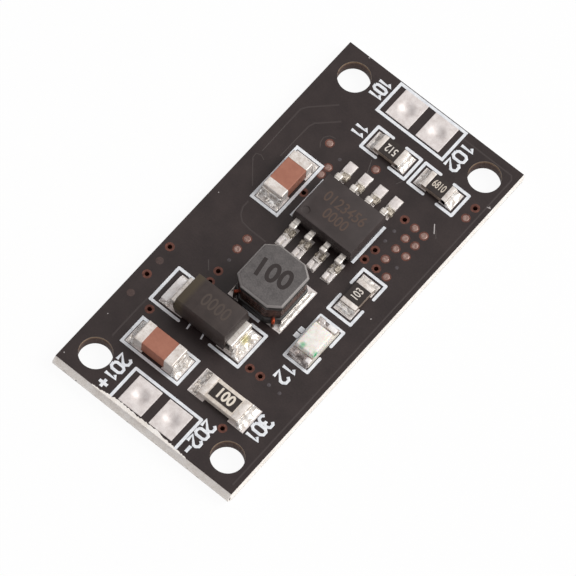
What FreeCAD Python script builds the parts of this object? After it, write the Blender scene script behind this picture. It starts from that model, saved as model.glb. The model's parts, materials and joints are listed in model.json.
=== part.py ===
import FreeCAD, Part
import os
import re
import Sketcher

# Power bank module: a small two-layer circuit board with its surface mounted parts.
# Millimetres. X runs across the board, +Y points to the input terminals, +Z is up.
# The origin is the middle of the board's underside.

doc = FreeCAD.newDocument("PowerBankModule")

# Driving sizes. A toe is the stretch of pad in front of a part's metal end, a heel the stretch behind it.
sizes = {
    # bare board
    "laminateThickness": 1.0,
    "maskThickness": 0.035,
    "copperThickness": 0.035,
    "scoreDepth": 0.33,
    "scoreBulgeFront": 0.3,
    "scoreBulgeRear": 0.1,
    "mountHoleRadius": 1.14,
    "mountHoleInsetX": 1.83,
    "mountHoleInsetY": 1.82,
    # clear lanes between the rows of parts, from the battery end, and beside the outermost part
    "batteryRowGap": 0.72,
    "diodeRowGap": 1.16,
    "coreRowGap": 0.5,
    "chipRowGap": 0.85,
    "resistorRowGap": 1.18,
    "inputRowGap": 0.71,
    "edgeLane": 1.64,
    # white ink
    "inkWidth": 0.18,
    "inkThickness": 0.02,
    # four solder terminals
    "terminalPitch": 2.54,
    "terminalX": -0.13,
    "terminalPadWidth": 1.92,
    "terminalPadLength": 2.2,
    "terminalEdgeGap": 0.29,
    "terminalBoreRadius": 0.45,
    "terminalTinThickness": 0.06,
    "terminalTinBevel": 0.03,
    "terminalDimpleRadius": 0.5,
    "terminalDimpleDepth": 0.24,
    "terminalInkSideGap": 0.42,
    "terminalInkOuterGap": 0.03,
    "terminalInkInnerGap": 0.11,
    # vias
    "viaRingRadius": 0.32,
    "viaBoreRadius": 0.16,
    "viaPlating": 0.03,
    "viaPlugSink": 0.08,
    # metal skin on the ends of the ceramic parts
    "capWall": 0.02,
    # two ceramic capacitors
    "capacitorLength": 3.2,
    "capacitorWidth": 1.6,
    "capacitorHeight": 1.2,
    "capacitorCapLength": 0.66,
    "capacitorEdgeRadius": 0.08,
    "capacitorToe": 0.575,
    "capacitorHeel": 0.115,
    "capacitorPadSide": 0.1,
    "capacitorSolderHeight": 0.85,
    "capacitorInkEndGap": 0.065,
    "capacitorInkSideGap": 0.07,
    "inputCapacitorGap": 0.54,
    "inputCapacitorRise": 0.04,
    "batteryCapacitorX": -2.5,
    # three small resistors
    "resistorLength": 2.0,
    "resistorWidth": 1.25,
    "resistorHeight": 0.45,
    "resistorCapLength": 0.35,
    "resistorGlazeEndGap": 0.01,
    "resistorGlazeSideGap": 0.01,
    "resistorToe": 0.56,
    "resistorHeel": 0.09,
    "resistorPadSide": 0.085,
    "resistorSolderHeight": 0.36,
    "resistorInkEndGap": 0.17,
    "resistorInkSideGap": 0.135,
    "resistorInkBreak": 0.95,
    "programResistorX": -0.2,
    "supplyResistorGap": 0.18,
    "lampResistorGap": 0.53,
    # the larger sense resistor
    "senseLength": 3.2,
    "senseWidth": 1.6,
    "senseHeight": 0.55,
    "senseCapLength": 0.48,
    "senseGlazeEndGap": 0.1,
    "senseGlazeSideGap": 0.28,
    "senseToe": 0.72,
    "senseHeel": 0.1,
    "sensePadSide": 0.2,
    "senseSolderHeight": 0.45,
    "senseGap": 0.64,
    "senseRise": 0.05,
    "glazeThickness": 0.03,
    # indicator lamp
    "lampLength": 3.2,
    "lampWidth": 1.6,
    "lampBaseHeight": 0.5,
    "lampLensHeight": 0.48,
    "lampLensGap": 0.1,
    "lampLensDraft": 0.08,
    "lampNotchRadius": 0.3,
    "lampFoil": 0.03,
    "lampFoilLength": 0.5,
    "lampToe": 0.1,
    "lampHeel": 0.3,
    "lampPadInset": 0.05,
    "lampSolderHeight": 0.3,
    "lampInkEndGap": 0.055,
    "lampInkSideGap": 0.065,
    "lampInkBreak": 0.95,
    "lampMarkSize": 0.36,
    "lampMarkGap": 0.12,
    "lampGap": 0.715,
    "lampSetback": 1.0,
    # rectifier diode in a moulded case with folded leads
    "diodeLength": 4.3,
    "diodeWidth": 2.6,
    "diodeHeight": 2.2,
    "diodeDraft": 0.12,
    "diodePartingHeight": 1.05,
    "diodeStandoff": 0.12,
    "diodeLeadWidth": 2.0,
    "diodeLeadThickness": 0.2,
    "diodeLeadReach": 0.45,
    "diodeFootLength": 1.1,
    "diodeBendRadius": 0.12,
    "diodeLeadEmbed": 0.4,
    "diodeToe": 0.75,
    "diodeHeel": 0.05,
    "diodePadSide": 0.2,
    "diodeSolderHeight": 0.55,
    "diodeInkEndGap": 0.23,
    "diodeInkSideGap": 0.055,
    "diodeInkShift": 0.17,
    "diodeInkArmRear": 1.4,
    "diodeInkArmFront": 2.55,
    "diodeX": -1.5,
    # controller chip with gull-wing leads
    "chipLength": 4.9,
    "chipWidth": 3.75,
    "chipHeight": 1.45,
    "chipStandoff": 0.12,
    "chipDraft": 0.12,
    "chipPartingHeight": 0.82,
    "chipDotRadius": 0.28,
    "chipDotDepth": 0.05,
    "chipDotInset": 0.62,
    "leadCount": 4,
    "leadPitch": 1.27,
    "leadWidth": 0.42,
    "leadThickness": 0.2,
    "leadShoulder": 0.4,
    "leadLegRun": 0.225,
    "leadLegShift": 0.12,
    "leadFootLength": 0.5,
    "leadBendRadius": 0.07,
    "leadEmbed": 0.3,
    "chipToe": 0.9,
    "chipHeel": 0.23,
    "chipPadSide": 0.14,
    "chipSolderHeight": 0.22,
    "chipInkGap": 0.025,
    "chipInkLength": 3.36,
    "chipInkShift": 0.115,
    "chipSlip": -0.1,
    "chipX": 0.43,
    # power inductor on a drum core
    "coreWidth": 3.8,
    "coreLength": 4.0,
    "coreCornerX": 0.8,
    "coreCornerY": 0.62,
    "coreHeight": 2.6,
    "coreTopFlange": 0.55,
    "coreBottomFlange": 0.65,
    "coreEdgeBevel": 0.14,
    "coilInset": 0.1,
    "coilDepth": 0.95,
    "coilTurns": 5,
    "coilGroove": 0.07,
    "coilEndRadius": 0.12,
    "coilEndGap": 0.02,
    "coreFootLength": 1.0,
    "coreFootInset": 0.03,
    "coreFootThickness": 0.05,
    "coreFootRise": 0.5,
    "coreToe": 0.275,
    "corePadSide": 0.575,
    "coreSolderHeight": 0.3,
    "coreInkLength": 1.5,
    "coreInkGap": 0.04,
    "coreX": 0.375,
    "coreSlip": -0.125,
}

sheet = doc.addObject("Spreadsheet::Sheet", "Sizes")
for row, (alias, number) in enumerate(sizes.items(), 1):
    sheet.set(f"A{row}", alias)
    sheet.set(f"B{row}", str(number))
    sheet.setAlias(f"B{row}", alias)
doc.recompute()

# Levels
laminateFloor = "copperThickness"
laminateTop = "(copperThickness + laminateThickness)"
maskTop = f"({laminateTop} + maskThickness)"
padTop = f"({laminateTop} + copperThickness)"


# Pads: how far a pair spans over its outer ends, and the length and width of each one
def land(kind, length, metal, width):
    span = f"({length} + 2 * {kind}Toe)"
    return (span, f"({kind}Toe + {metal} + {kind}Heel)", f"({width} + 2 * {kind}PadSide)")


capacitorLand = land("capacitor", "capacitorLength", "capacitorCapLength", "capacitorWidth")
resistorLand = land("resistor", "resistorLength", "resistorCapLength", "resistorWidth")
senseLand = land("sense", "senseLength", "senseCapLength", "senseWidth")
diodeReach = "(diodeLength / 2 + diodeLeadReach)"
diodeLand = land("diode", f"2 * {diodeReach}", "diodeFootLength", "diodeLeadWidth")
lampLand = ("(lampLength + 2 * lampToe)", "(lampToe + lampFoilLength + lampHeel)",
            "(lampWidth - 2 * lampPadInset)")
leadReach = "(chipWidth / 2 + leadShoulder + leadLegRun + leadFootLength)"
chipLand = land("chip", f"2 * {leadReach}", "(leadFootLength + leadLegShift)", "leadWidth")
coreFootWidth = "(coreLength - 2 * (coreCornerY + coreFootInset))"
coreLand = ("(coreWidth + 2 * coreToe)", "(coreToe + coreFootLength)", f"({coreFootWidth} + 2 * corePadSide)")


# Outlines in ink: the length and width over the outside of each
def inkBox(kind, span, width):
    return (f"({span} + 2 * ({kind}InkEndGap + inkWidth))", f"({width} + 2 * ({kind}InkSideGap + inkWidth))")


capacitorInk = inkBox("capacitor", capacitorLand[0], capacitorLand[2])
resistorInk = inkBox("resistor", resistorLand[0], resistorLand[2])
lampInk = inkBox("lamp", lampLand[0], "lampWidth")
diodeInk = inkBox("diode", diodeLand[0], "diodeWidth")
terminalDepth = "(terminalEdgeGap + terminalPadLength + terminalInkInnerGap + inkWidth)"

# Rows along Y, one lane after another from the battery end, and the board that holds them all
capacitorRow = f"(scoreBulgeFront + {terminalDepth} + batteryRowGap + {capacitorInk[1]} / 2)"
diodeRow = f"({capacitorRow} + {capacitorInk[1]} / 2 + diodeRowGap + {diodeInk[1]} / 2)"
coreRow = f"({diodeRow} + {diodeInk[1]} / 2 + coreRowGap + coreLength / 2)"
chipRow = f"({coreRow} + coreLength / 2 + chipRowGap + {chipLand[0]} / 2)"
resistorRow = f"({chipRow} + {chipLand[0]} / 2 + resistorRowGap + {resistorInk[1]} / 2)"
boardLength = f"({resistorRow} + {resistorInk[1]} / 2 + inputRowGap + {terminalDepth} + scoreBulgeRear)"
faceLength = f"({boardLength} - scoreBulgeFront - scoreBulgeRear)"
faceY = "((scoreBulgeFront - scoreBulgeRear) / 2)"
capacitorY, diodeY, coreY, chipY, resistorY = (
    f"({row} - {boardLength} / 2)" for row in (capacitorRow, diodeRow, coreRow, chipRow, resistorRow))
terminalY = f"({faceLength} / 2 - terminalEdgeGap - terminalPadLength / 2)"
senseY = f"({capacitorY} + senseRise)"
inputCapacitorY = f"({chipY} + inputCapacitorRise)"
lampY = f"({coreY} - lampSetback)"
lampResistorY = f"({lampY} + {lampInk[0]} / 2 + lampResistorGap + {resistorInk[0]} / 2)"

# Columns along X
chipInkX = "(chipX - chipInkShift)"
chipInkReach = "(chipLength / 2 + chipInkGap + inkWidth)"
inputCapacitorX = f"({chipInkX} - {chipInkReach} - inputCapacitorGap - {capacitorInk[1]} / 2)"
senseX = f"(batteryCapacitorX + {capacitorInk[0]} / 2 + senseGap + {senseLand[0]} / 2)"
supplyResistorX = f"(programResistorX + {resistorInk[0]} + supplyResistorGap)"
lampX = f"(coreX + {coreLand[0]} / 2 + lampGap + lampMarkSize + {lampInk[1]} / 2)"
boardWidth = f"(2 * ({supplyResistorX} + {resistorInk[0]} / 2 + edgeLane))"

# Vias stand in groups, each placed from the edge of a part: open, plugged with solder, or under the mask
openVias, pluggedVias, tentedVias = [], [], []
for x, y, opened, plugged, tented in (
    # right of the chip
    (f"({chipInkX} + {chipInkReach})", chipY, [(0.54, 2.96), (0.46, 0), (0.36, -0.96), (1.36, -0.98)],
     [(1.42, 2.92), (2.23, 2.87), (1.42, 1.94), (2.23, 1.94), (1.42, 0.96), (2.27, 0.96), (1.38, -0.05),
      (2.23, -1)],
     [(0.54, 1.87), (0.54, 0.93), (2.32, -0.05)]),
    # left of the chip and behind it
    (f"({chipInkX} - {chipInkReach})", chipY,
     [(-0.34, 0.12)], [(-0.3, 2.57), (-0.34, 1.89)], [(-0.09, 3.51)]),
    (inputCapacitorX, f"({inputCapacitorY} + {capacitorInk[0]} / 2)", [], [(0.37, 1.54)], []),
    ("chipX", f"({chipY} + {chipLand[0]} / 2)", [], [(-0.62, 0.61)], []),
    # beside the supply resistor
    (f"({supplyResistorX} + {resistorInk[0]} / 2)", resistorY, [(0.76, 0.52)], [(0.74, -0.43)], []),
    # left of the inductor
    (f"(coreX - {coreLand[0]} / 2)", coreY, [(-1.48, -1.1), (-1.4, -2.02)], [(-1.53, 1.9), (-1.57, 0.92)],
     [(-1.46, -0.04)]),
    # round the diode
    (f"(diodeX - diodeInkShift - {diodeInk[0]} / 2)", diodeY, [(-1.33, 2.2), (-1.2, -0.25)], [],
     [(-1.19, 1.01), (-1.14, -1.95)]),
    (f"(diodeX - diodeInkShift - {diodeInk[0]} / 2)", f"({diodeY} - {diodeInk[1]} / 2)",
     [(0.53, -0.51)], [], []),
    (f"(diodeX - diodeInkShift + {diodeInk[0]} / 2)", diodeY, [(0.55, -0.99), (1.42, -0.99)], [],
     [(2.22, -1.09), (3.1, -1.09)]),
    # in front of the sense resistor
    (senseX, f"({senseY} - {senseLand[2]} / 2)", [(1.12, -0.57)], [], []),
):
    for spots, offsets in ((openVias, opened), (pluggedVias, plugged), (tentedVias, tented)):
        spots += [(f"{x} + ({right})", f"{y} + ({rear})") for right, rear in offsets]


def formula(text):
    """Points each size's name in a formula at its cell of the sheet."""
    return re.sub(r"[A-Za-z]\w*", lambda word: f"Sizes.{word[0]}" if word[0] in sizes else word[0], str(text))


def bind(thing, **properties):
    """Ties properties to formulas; X, Y and Z stand for the placement's base."""
    paths = {"X": "Placement.Base.x", "Y": "Placement.Base.y", "Z": "Placement.Base.z"}
    for name, text in properties.items():
        thing.setExpression(paths.get(name, name), formula(text))
    return thing


def box(name, middle, size, floor=0):
    """A block centred on middle in X and Y that stands on floor."""
    solid = doc.addObject("Part::Box", name)
    (x, y), (length, width, height) = middle, size
    return bind(solid, Length=length, Width=width, Height=height,
                X=f"{x} - ({length}) / 2", Y=f"{y} - ({width}) / 2", Z=floor)


def rod(name, middle, radius, height, floor=0):
    solid = doc.addObject("Part::Cylinder", name)
    return bind(solid, Radius=radius, Height=height, X=middle[0], Y=middle[1], Z=floor)


def plate(name, middle, size, level):
    """A flat rectangle, used as one section of a loft."""
    face = doc.addObject("Part::Plane", name)
    (x, y), (length, width) = middle, size
    return bind(face, Length=length, Width=width,
                X=f"{x} - ({length}) / 2", Y=f"{y} - ({width}) / 2", Z=level)


def loft(name, sections, ruled=False):
    solid = doc.addObject("Part::Loft", name)
    solid.Sections = sections
    solid.Solid = True
    solid.Ruled = ruled
    return solid


def cut(name, base, tool):
    solid = doc.addObject("Part::Cut", name)
    solid.Base = base
    solid.Tool = tool
    return solid


def common(name, base, tool):
    solid = doc.addObject("Part::Common", name)
    solid.Base = base
    solid.Tool = tool
    return solid


def fuse(name, parts):
    solid = doc.addObject("Part::MultiFuse", name)
    solid.Shapes = parts
    return solid


def group(name, parts):
    """Separate solids that share one node."""
    solids = doc.addObject("Part::Compound", name)
    solids.Links = parts
    return solids


def body(name):
    piece = doc.addObject("PartDesign::Body", name)
    piece.AllowCompound = True
    return piece


def sketch(piece, name, role="XY_Plane", level=0):
    """A sketch on one of the body's own origin planes, lifted by level along the plane's normal."""
    drawing = piece.newObject("Sketcher::SketchObject", name)
    drawing.AttachmentSupport = [(next(f for f in piece.Origin.OriginFeatures if f.Role == role), "")]
    drawing.MapMode = "FlatFace"
    drawing.setExpression("AttachmentOffset.Base.z", formula(level))
    return drawing


def pin(drawing, geometry, point, place):
    """Holds a point of the sketch at a place given by two formulas."""
    for kind, text in zip(("DistanceX", "DistanceY"), place):
        index = drawing.addConstraint(Sketcher.Constraint(kind, -1, 1, geometry, point, 0.0))
        drawing.setExpression(f"Constraints[{index}]", formula(text))


def outline(drawing, corners):
    """A closed outline through corners, each held by two formulas."""
    count = len(corners)
    first = drawing.GeometryCount
    up = FreeCAD.Vector(0, 0, 1)
    spokes = [FreeCAD.Rotation(up, 360 * index / count) for index in range(count)]
    ring = [spoke.multVec(FreeCAD.Vector(1, 0, 0)) for spoke in spokes]
    for index in range(count):
        drawing.addGeometry(Part.LineSegment(ring[index], ring[(index + 1) % count]), False)
    for index in range(count):
        after = first + (index + 1) % count
        drawing.addConstraint(Sketcher.Constraint("Coincident", first + index, 2, after, 1))
    for index, corner in enumerate(corners):
        pin(drawing, first + index, 1, corner)


def line(drawing, points):
    """An open line through points, each held by two formulas."""
    first = drawing.GeometryCount
    for index in range(len(points) - 1):
        start, end = FreeCAD.Vector(index, 0, 0), FreeCAD.Vector(index + 1, 0, 0)
        drawing.addGeometry(Part.LineSegment(start, end), False)
        if index:
            drawing.addConstraint(Sketcher.Constraint("Coincident", first + index - 1, 2, first + index, 1))
    for index in range(len(points) - 1):
        pin(drawing, first + index, 1, points[index])
    pin(drawing, first + len(points) - 2, 2, points[-1])


def rectangle(drawing, middle, size):
    (x, y), (length, width) = middle, size
    west, east = f"{x} - ({length}) / 2", f"{x} + ({length}) / 2"
    south, north = f"{y} - ({width}) / 2", f"{y} + ({width}) / 2"
    outline(drawing, [(west, south), (east, south), (east, north), (west, north)])


def circle(drawing, middle, radius):
    geometry = drawing.addGeometry(Part.Circle(FreeCAD.Vector(0, 0, 0), FreeCAD.Vector(0, 0, 1), 1), False)
    pin(drawing, geometry, 3, middle)
    index = drawing.addConstraint(Sketcher.Constraint("Radius", geometry, 1.0))
    drawing.setExpression(f"Constraints[{index}]", formula(radius))


def pad(piece, name, drawing, length, middle=False):
    """Thickens a sketch into a solid, to both sides alike where middle is set."""
    feature = piece.newObject("PartDesign::Pad", name)
    feature.Profile = drawing
    feature.SideType = "Symmetric" if middle else "One side"
    bind(feature, Length=length)
    piece.Tip = feature
    return feature


def pocket(piece, name, drawing):
    """Cuts a sketch's outlines right through, to both sides of it."""
    feature = piece.newObject("PartDesign::Pocket", name)
    feature.Profile = drawing
    feature.Type = "ThroughAll"
    feature.SideType = "Symmetric"
    piece.Tip = feature
    return feature


def soften(piece, name, kind, base, size, wanted):
    """Rounds or bevels the edges of base whose middle point satisfies wanted."""
    doc.recompute()
    names = [f"Edge{index}" for index, edge in enumerate(base.Shape.Edges, 1)
             if wanted(edge.CenterOfMass, edge)]
    feature = piece.newObject(f"PartDesign::{kind}", name)
    feature.Base = (base, names)
    bind(feature, **{"Radius" if kind == "Fillet" else "Size": size})
    piece.Tip = feature
    return feature


def place(piece, x, y, turned=False):
    """Sets a finished piece down on the board's pads, a quarter turn round where turned is set."""
    if turned:
        piece.Placement = FreeCAD.Placement(FreeCAD.Vector(0, 0, 0), FreeCAD.Rotation(90, 0, 0))
    return bind(piece, X=x, Y=y, Z=padTop)


def block(name, size, radius, floor=0):
    """A block about the origin with all its edges rounded."""
    piece = body(name)
    base = sketch(piece, f"{name}_base", level=floor)
    rectangle(base, (0, 0), size[:2])
    solid = pad(piece, f"{name}_pad", base, size[2])
    soften(piece, f"{name}_edges", "Fillet", solid, radius, lambda middle, edge: True)
    return piece


nodes = []


def node(piece):
    """Marks a finished object as a sub-part of its own, written to its own file."""
    piece.Label = piece.Name
    nodes.append(piece)
    return piece


# Copper pads and the openings in the mask over them
copperPads = []
maskOpenings = []


def footprint(name, middle, size):
    copperPads.append(box(f"{name}_copper", middle, (*size, "copperThickness"), laminateTop))
    maskOpenings.append(box(f"{name}_opening", middle, (*size, "2 * maskThickness"), laminateTop))


def padPair(name, x, y, land, turned=False):
    """The two pads of a two-ended part."""
    span, length, width = land
    for side, sign in (("a", "-"), ("b", "+")):
        reach = f"({span} - {length}) / 2"
        if turned:
            footprint(f"{name}_{side}", (x, f"{y} {sign} {reach}"), (width, length))
        else:
            footprint(f"{name}_{side}", (f"{x} {sign} {reach}", y), (length, width))


# The hollow slope of molten solder that has set: how much of its run is left at each share of its height
meniscus = ((1, 0), (0.68, 0.1), (0.42, 0.3), (0.24, 0.6), (0.13, 1))


def solderJoint(name, wall, toe, foot, crown, height, sign=1, across=None):
    """Solder from a metal wall to the end of a pad: as wide as foot on the pad, as crown at its top.
    It runs along X, or along Y at the place that across gives."""
    sections = []
    for step, (share, rise) in enumerate(meniscus):
        run, width = f"{toe} * {share}", f"{crown} + ({foot} - {crown}) * {share if rise else 1}"
        reach, level = f"{sign} * ({wall} + {run} / 2)", f"{height} * {rise}"
        if across is None:
            sections.append(plate(f"{name}_section{step}", (reach, 0), (run, width), level))
        else:
            sections.append(plate(f"{name}_section{step}", (across, reach), (width, run), level))
    return loft(name, sections, ruled=True)


def jointPair(name, wall, toe, foot, crown, height):
    return group(name, [solderJoint(f"{name}_{side}", wall, toe, foot, crown, height, sign)
                        for side, sign in (("a", -1), ("b", 1))])


# Terminals: a square copper pad on each face, joined by a plated bore, with tin drawn down into it
terminals = {}
for end, sign in (("input", 1), ("battery", -1)):
    for pole, hand in (("plus", "-"), ("minus", "+")):
        name = f"{end}_{pole}"
        middle = (f"(terminalX {hand} terminalPitch / 2)", f"({faceY} + {sign} * {terminalY})")
        terminals[name] = middle
        face = ("terminalPadWidth", "terminalPadLength")
        upper = box(f"{name}_pad_top", middle, (*face, "copperThickness"), laminateTop)
        lower = box(f"{name}_pad_bottom", middle, (*face, "copperThickness"))
        barrel = rod(f"{name}_barrel", middle, "terminalBoreRadius + viaPlating", padTop)
        copper = fuse(f"{name}_copper", [upper, lower, barrel])
        bore = rod(f"{name}_bore", middle, "terminalBoreRadius", padTop)
        node(cut(f"{name}_terminal_plating", copper, bore))

        tin = body(f"{name}_tin")
        film = sketch(tin, f"{name}_film", level=padTop)
        rectangle(film, middle, face)
        layer = pad(tin, f"{name}_film_pad", film, "terminalTinThickness")
        crest = sizes["copperThickness"] * 2 + sizes["laminateThickness"] + sizes["terminalTinThickness"]
        soften(tin, f"{name}_film_edge", "Chamfer", layer, "terminalTinBevel",
               lambda point, edge: edge.BoundBox.ZMin > crest - sizes["terminalTinThickness"] / 2)
        plug = sketch(tin, f"{name}_plug")
        circle(plug, middle, "terminalBoreRadius")
        pad(tin, f"{name}_plug_pad", plug, padTop)
        dimple = doc.addObject("Part::Sphere", f"{name}_dimple")
        bow = "((terminalDimpleRadius ^ 2 + terminalDimpleDepth ^ 2) / (2 * terminalDimpleDepth))"
        bind(dimple, Radius=bow, X=middle[0], Y=middle[1],
             Z=f"{padTop} + terminalTinThickness - terminalDimpleDepth + {bow}")
        node(cut(f"{name}_terminal_tin", tin, dimple))

# Bare board: its side profile has the two scored ends, snapped at the web left between the grooves
board = body("board_laminate")
profile = sketch(board, "board_side", "YZ_Plane")
front, rear, web = f"({faceY} - {faceLength} / 2)", f"({faceY} + {faceLength} / 2)", f"({boardLength} / 2)"
lowerLip, upperLip = f"{laminateFloor} + scoreDepth", f"{laminateTop} - scoreDepth"
outline(profile, [
    (rear, laminateFloor), (web, lowerLip), (web, upperLip), (rear, laminateTop),
    (front, laminateTop), (f"-{web}", upperLip), (f"-{web}", lowerLip), (front, laminateFloor),
])
pad(board, "board_blank", profile, boardWidth, middle=True)
mountHoles = [(f"{side} * ({boardWidth} / 2 - mountHoleInsetX)",
               f"{faceY} + {end} * ({faceLength} / 2 - mountHoleInsetY)")
              for side in (-1, 1) for end in (-1, 1)]
drill = sketch(board, "board_drill")
for middle in mountHoles:
    circle(drill, middle, "mountHoleRadius")
for middle in terminals.values():
    circle(drill, middle, "terminalBoreRadius + viaPlating")
for middle in openVias + pluggedVias + tentedVias:
    circle(drill, middle, "viaBoreRadius + viaPlating")
pocket(board, "board_holes", drill)
node(board)


def discs(piece, name, places, radius, level, height):
    """Round posts at all the places, thickened upwards from level."""
    drawing = sketch(piece, name, level=level)
    for middle in places:
        circle(drawing, middle, radius)
    return pad(piece, f"{name}_pad", drawing, height)


# Vias: plated barrels with a ring on the upper face, covered by the mask below
for kind, places in (("open", openVias), ("plugged", pluggedVias), ("tented", tentedVias)):
    barrels = body(f"{kind}_via_barrels")
    discs(barrels, f"{kind}_via_sleeves", places, "viaBoreRadius + viaPlating",
          laminateFloor, "laminateThickness")
    if kind != "tented":
        discs(barrels, f"{kind}_via_rings", places, "viaRingRadius", laminateTop, "copperThickness")
    bores = sketch(barrels, f"{kind}_via_bores")
    for middle in places:
        circle(bores, middle, "viaBoreRadius")
    pocket(barrels, f"{kind}_via_bores_cut", bores)
    node(barrels)
plugs = body("via_solder_plugs")
discs(plugs, "via_plug_outlines", pluggedVias, "viaBoreRadius", laminateFloor,
      f"{padTop} - viaPlugSink - {laminateFloor}")
node(plugs)


# Ceramic capacitors: a brown block whose two ends are dipped in metal
def capacitor(name, x, y, turned=False):
    padPair(name, x, y, capacitorLand, turned)
    outer = ("capacitorLength", "capacitorWidth", "capacitorHeight")
    inner = tuple(f"{size} - 2 * capWall" for size in outer)
    shell = block(f"{name}_shell", outer, "capacitorEdgeRadius")
    ceramic = block(f"{name}_ceramic", inner, "capacitorEdgeRadius - capWall", "capWall")
    ends = [box(f"{name}_end_{side}", (f"{sign} * (capacitorLength - capacitorCapLength) / 2", 0),
                ("capacitorCapLength", *outer[1:])) for side, sign in (("a", -1), ("b", 1))]
    dipped = common(f"{name}_dipped", shell, group(f"{name}_ends", ends))
    node(place(group(f"{name}_body", [ceramic]), x, y, turned))
    node(place(cut(f"{name}_end_caps", dipped, ceramic), x, y, turned))
    node(place(jointPair(f"{name}_solder", "capacitorLength / 2", "capacitorToe", capacitorLand[2],
                         "capacitorWidth", "capacitorSolderHeight"), x, y, turned))


capacitor("input_capacitor", inputCapacitorX, inputCapacitorY, turned=True)
capacitor("battery_capacitor", "batteryCapacitorX", capacitorY)


# Resistors: an alumina block, metal folded round its ends and a glaze between them
def resistor(name, kind, land, x, y, turned=False):
    length, width, height, cap = f"{kind}Length", f"{kind}Width", f"{kind}Height", f"{kind}CapLength"
    padPair(name, x, y, land, turned)
    core = (f"{length} - 2 * capWall", width, f"{height} - 2 * capWall")
    alumina = box(f"{name}_alumina", (0, 0), core, "capWall")
    ends = [box(f"{name}_end_{side}", (f"{sign} * ({length} - {cap}) / 2", 0), (cap, width, height))
            for side, sign in (("a", -1), ("b", 1))]
    field = (f"{length} - 2 * ({cap} + {kind}GlazeEndGap)", f"{width} - 2 * {kind}GlazeSideGap",
             "glazeThickness")
    glaze = box(f"{name}_glaze_layer", (0, 0), field, f"{height} - capWall")
    node(place(group(f"{name}_substrate", [alumina]), x, y, turned))
    node(place(cut(f"{name}_end_caps", group(f"{name}_ends", ends), alumina), x, y, turned))
    node(place(group(f"{name}_glaze", [glaze]), x, y, turned))
    joints = jointPair(f"{name}_solder", f"{length} / 2", f"{kind}Toe", land[2], width, f"{kind}SolderHeight")
    node(place(joints, x, y, turned))


resistor("program_resistor", "resistor", resistorLand, "programResistorX", resistorY)
resistor("supply_resistor", "resistor", resistorLand, supplyResistorX, resistorY)
resistor("lamp_resistor", "resistor", resistorLand, lampX, lampResistorY, turned=True)
resistor("sense_resistor", "sense", senseLand, senseX, senseY)

# Indicator lamp: a white base with half-round metal ends under a clear lens
padPair("lamp", lampX, lampY, lampLand, turned=True)
lampShoulder = "(lampBaseHeight + 2 * lampFoil)"
slab = box("lamp_slab", (0, 0), ("lampLength - 2 * lampFoil", "lampWidth", "lampBaseHeight"), "lampFoil")
foils, notches, innerNotches = [], [], []
for side, sign in (("a", -1), ("b", 1)):
    foils.append(box(f"lamp_foil_{side}", (f"{sign} * (lampLength - lampFoilLength) / 2", 0),
                     ("lampFoilLength", "lampWidth", lampShoulder)))
    edge = (f"{sign} * lampLength / 2", 0)
    notches.append(rod(f"lamp_notch_{side}", edge, "lampNotchRadius", lampShoulder))
    innerNotches.append(rod(f"lamp_core_notch_{side}", edge, "lampNotchRadius + lampFoil", lampShoulder))
lampCore = cut("lamp_core", slab, group("lamp_core_notches", innerNotches))
lampEnds = cut("lamp_ends", group("lamp_foils", foils), group("lamp_notches", notches))
node(place(group("lamp_base", [lampCore]), lampX, lampY, turned=True))
node(place(cut("lamp_terminals", lampEnds, lampCore), lampX, lampY, turned=True))
lensFloor = f"{lampShoulder} - lampFoil"
lensSize = ("(lampLength - 2 * (lampFoilLength + lampLensGap))", "lampWidth")
lens = loft("lamp_dome", [
    plate("lamp_lens_foot", (0, 0), lensSize, lensFloor),
    plate("lamp_lens_top", (0, 0), [f"{side} - 2 * lampLensDraft" for side in lensSize],
          f"{lensFloor} + lampLensHeight"),
], ruled=True)
node(place(group("lamp_lens", [lens]), lampX, lampY, turned=True))
lampJoints = jointPair("lamp_solder", "lampLength / 2", "lampToe", lampLand[2], lampLand[2],
                       "lampSolderHeight")
node(place(lampJoints, lampX, lampY, turned=True))


def moulded(name, length, width, draft, floor, parting, top):
    """A case whose walls lean in above and below the line where its mould parts."""
    small = (f"{length} - 2 * {draft}", f"{width} - 2 * {draft}")
    return loft(name, [plate(f"{name}_floor", (0, 0), small, floor),
                       plate(f"{name}_parting", (0, 0), (length, width), parting),
                       plate(f"{name}_roof", (0, 0), small, top)], ruled=True)


# Rectifier diode: each lead leaves the case at half height and folds down and under it
padPair("diode", "diodeX", diodeY, diodeLand)
diodeLeads = []
for side, sign in (("a", "-1"), ("b", "1")):
    lead = body(f"diode_lead_{side}")
    profile = sketch(lead, f"diode_lead_{side}_side", "XZ_Plane")
    out, under = diodeReach, f"({diodeReach} - diodeFootLength)"
    inside, metal = "(diodeLength / 2 - diodeLeadEmbed)", "diodeLeadThickness"
    over, beneath = f"diodePartingHeight + {metal} / 2", f"diodePartingHeight - {metal} / 2"
    outline(profile, [(f"{sign} * {reach}", level) for reach, level in (
        (inside, over), (out, over), (out, 0), (under, 0),
        (under, metal), (f"({out} - {metal})", metal), (f"({out} - {metal})", beneath), (inside, beneath))])
    strip = pad(lead, f"diode_lead_{side}_strip", profile, "diodeLeadWidth", middle=True)
    soften(lead, f"diode_lead_{side}_bends", "Fillet", strip, "diodeBendRadius",
           lambda point, edge: abs(point.x) > sizes["diodeLength"] / 2
           and edge.BoundBox.YLength > sizes["diodeLeadWidth"] / 2)
    diodeLeads.append(lead)
diodeCase = moulded("diode_case", "diodeLength", "diodeWidth", "diodeDraft",
                    "diodeStandoff", "diodePartingHeight", "diodeHeight")
diodeMetal = group("diode_metal", diodeLeads)
node(place(cut("diode_body", diodeCase, diodeMetal), "diodeX", diodeY))
node(place(group("diode_leads", [diodeMetal]), "diodeX", diodeY))
diodeJoints = jointPair("diode_solder", diodeReach, "diodeToe", diodeLand[2], "diodeLeadWidth",
                        "diodeSolderHeight")
node(place(diodeJoints, "diodeX", diodeY))

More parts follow.
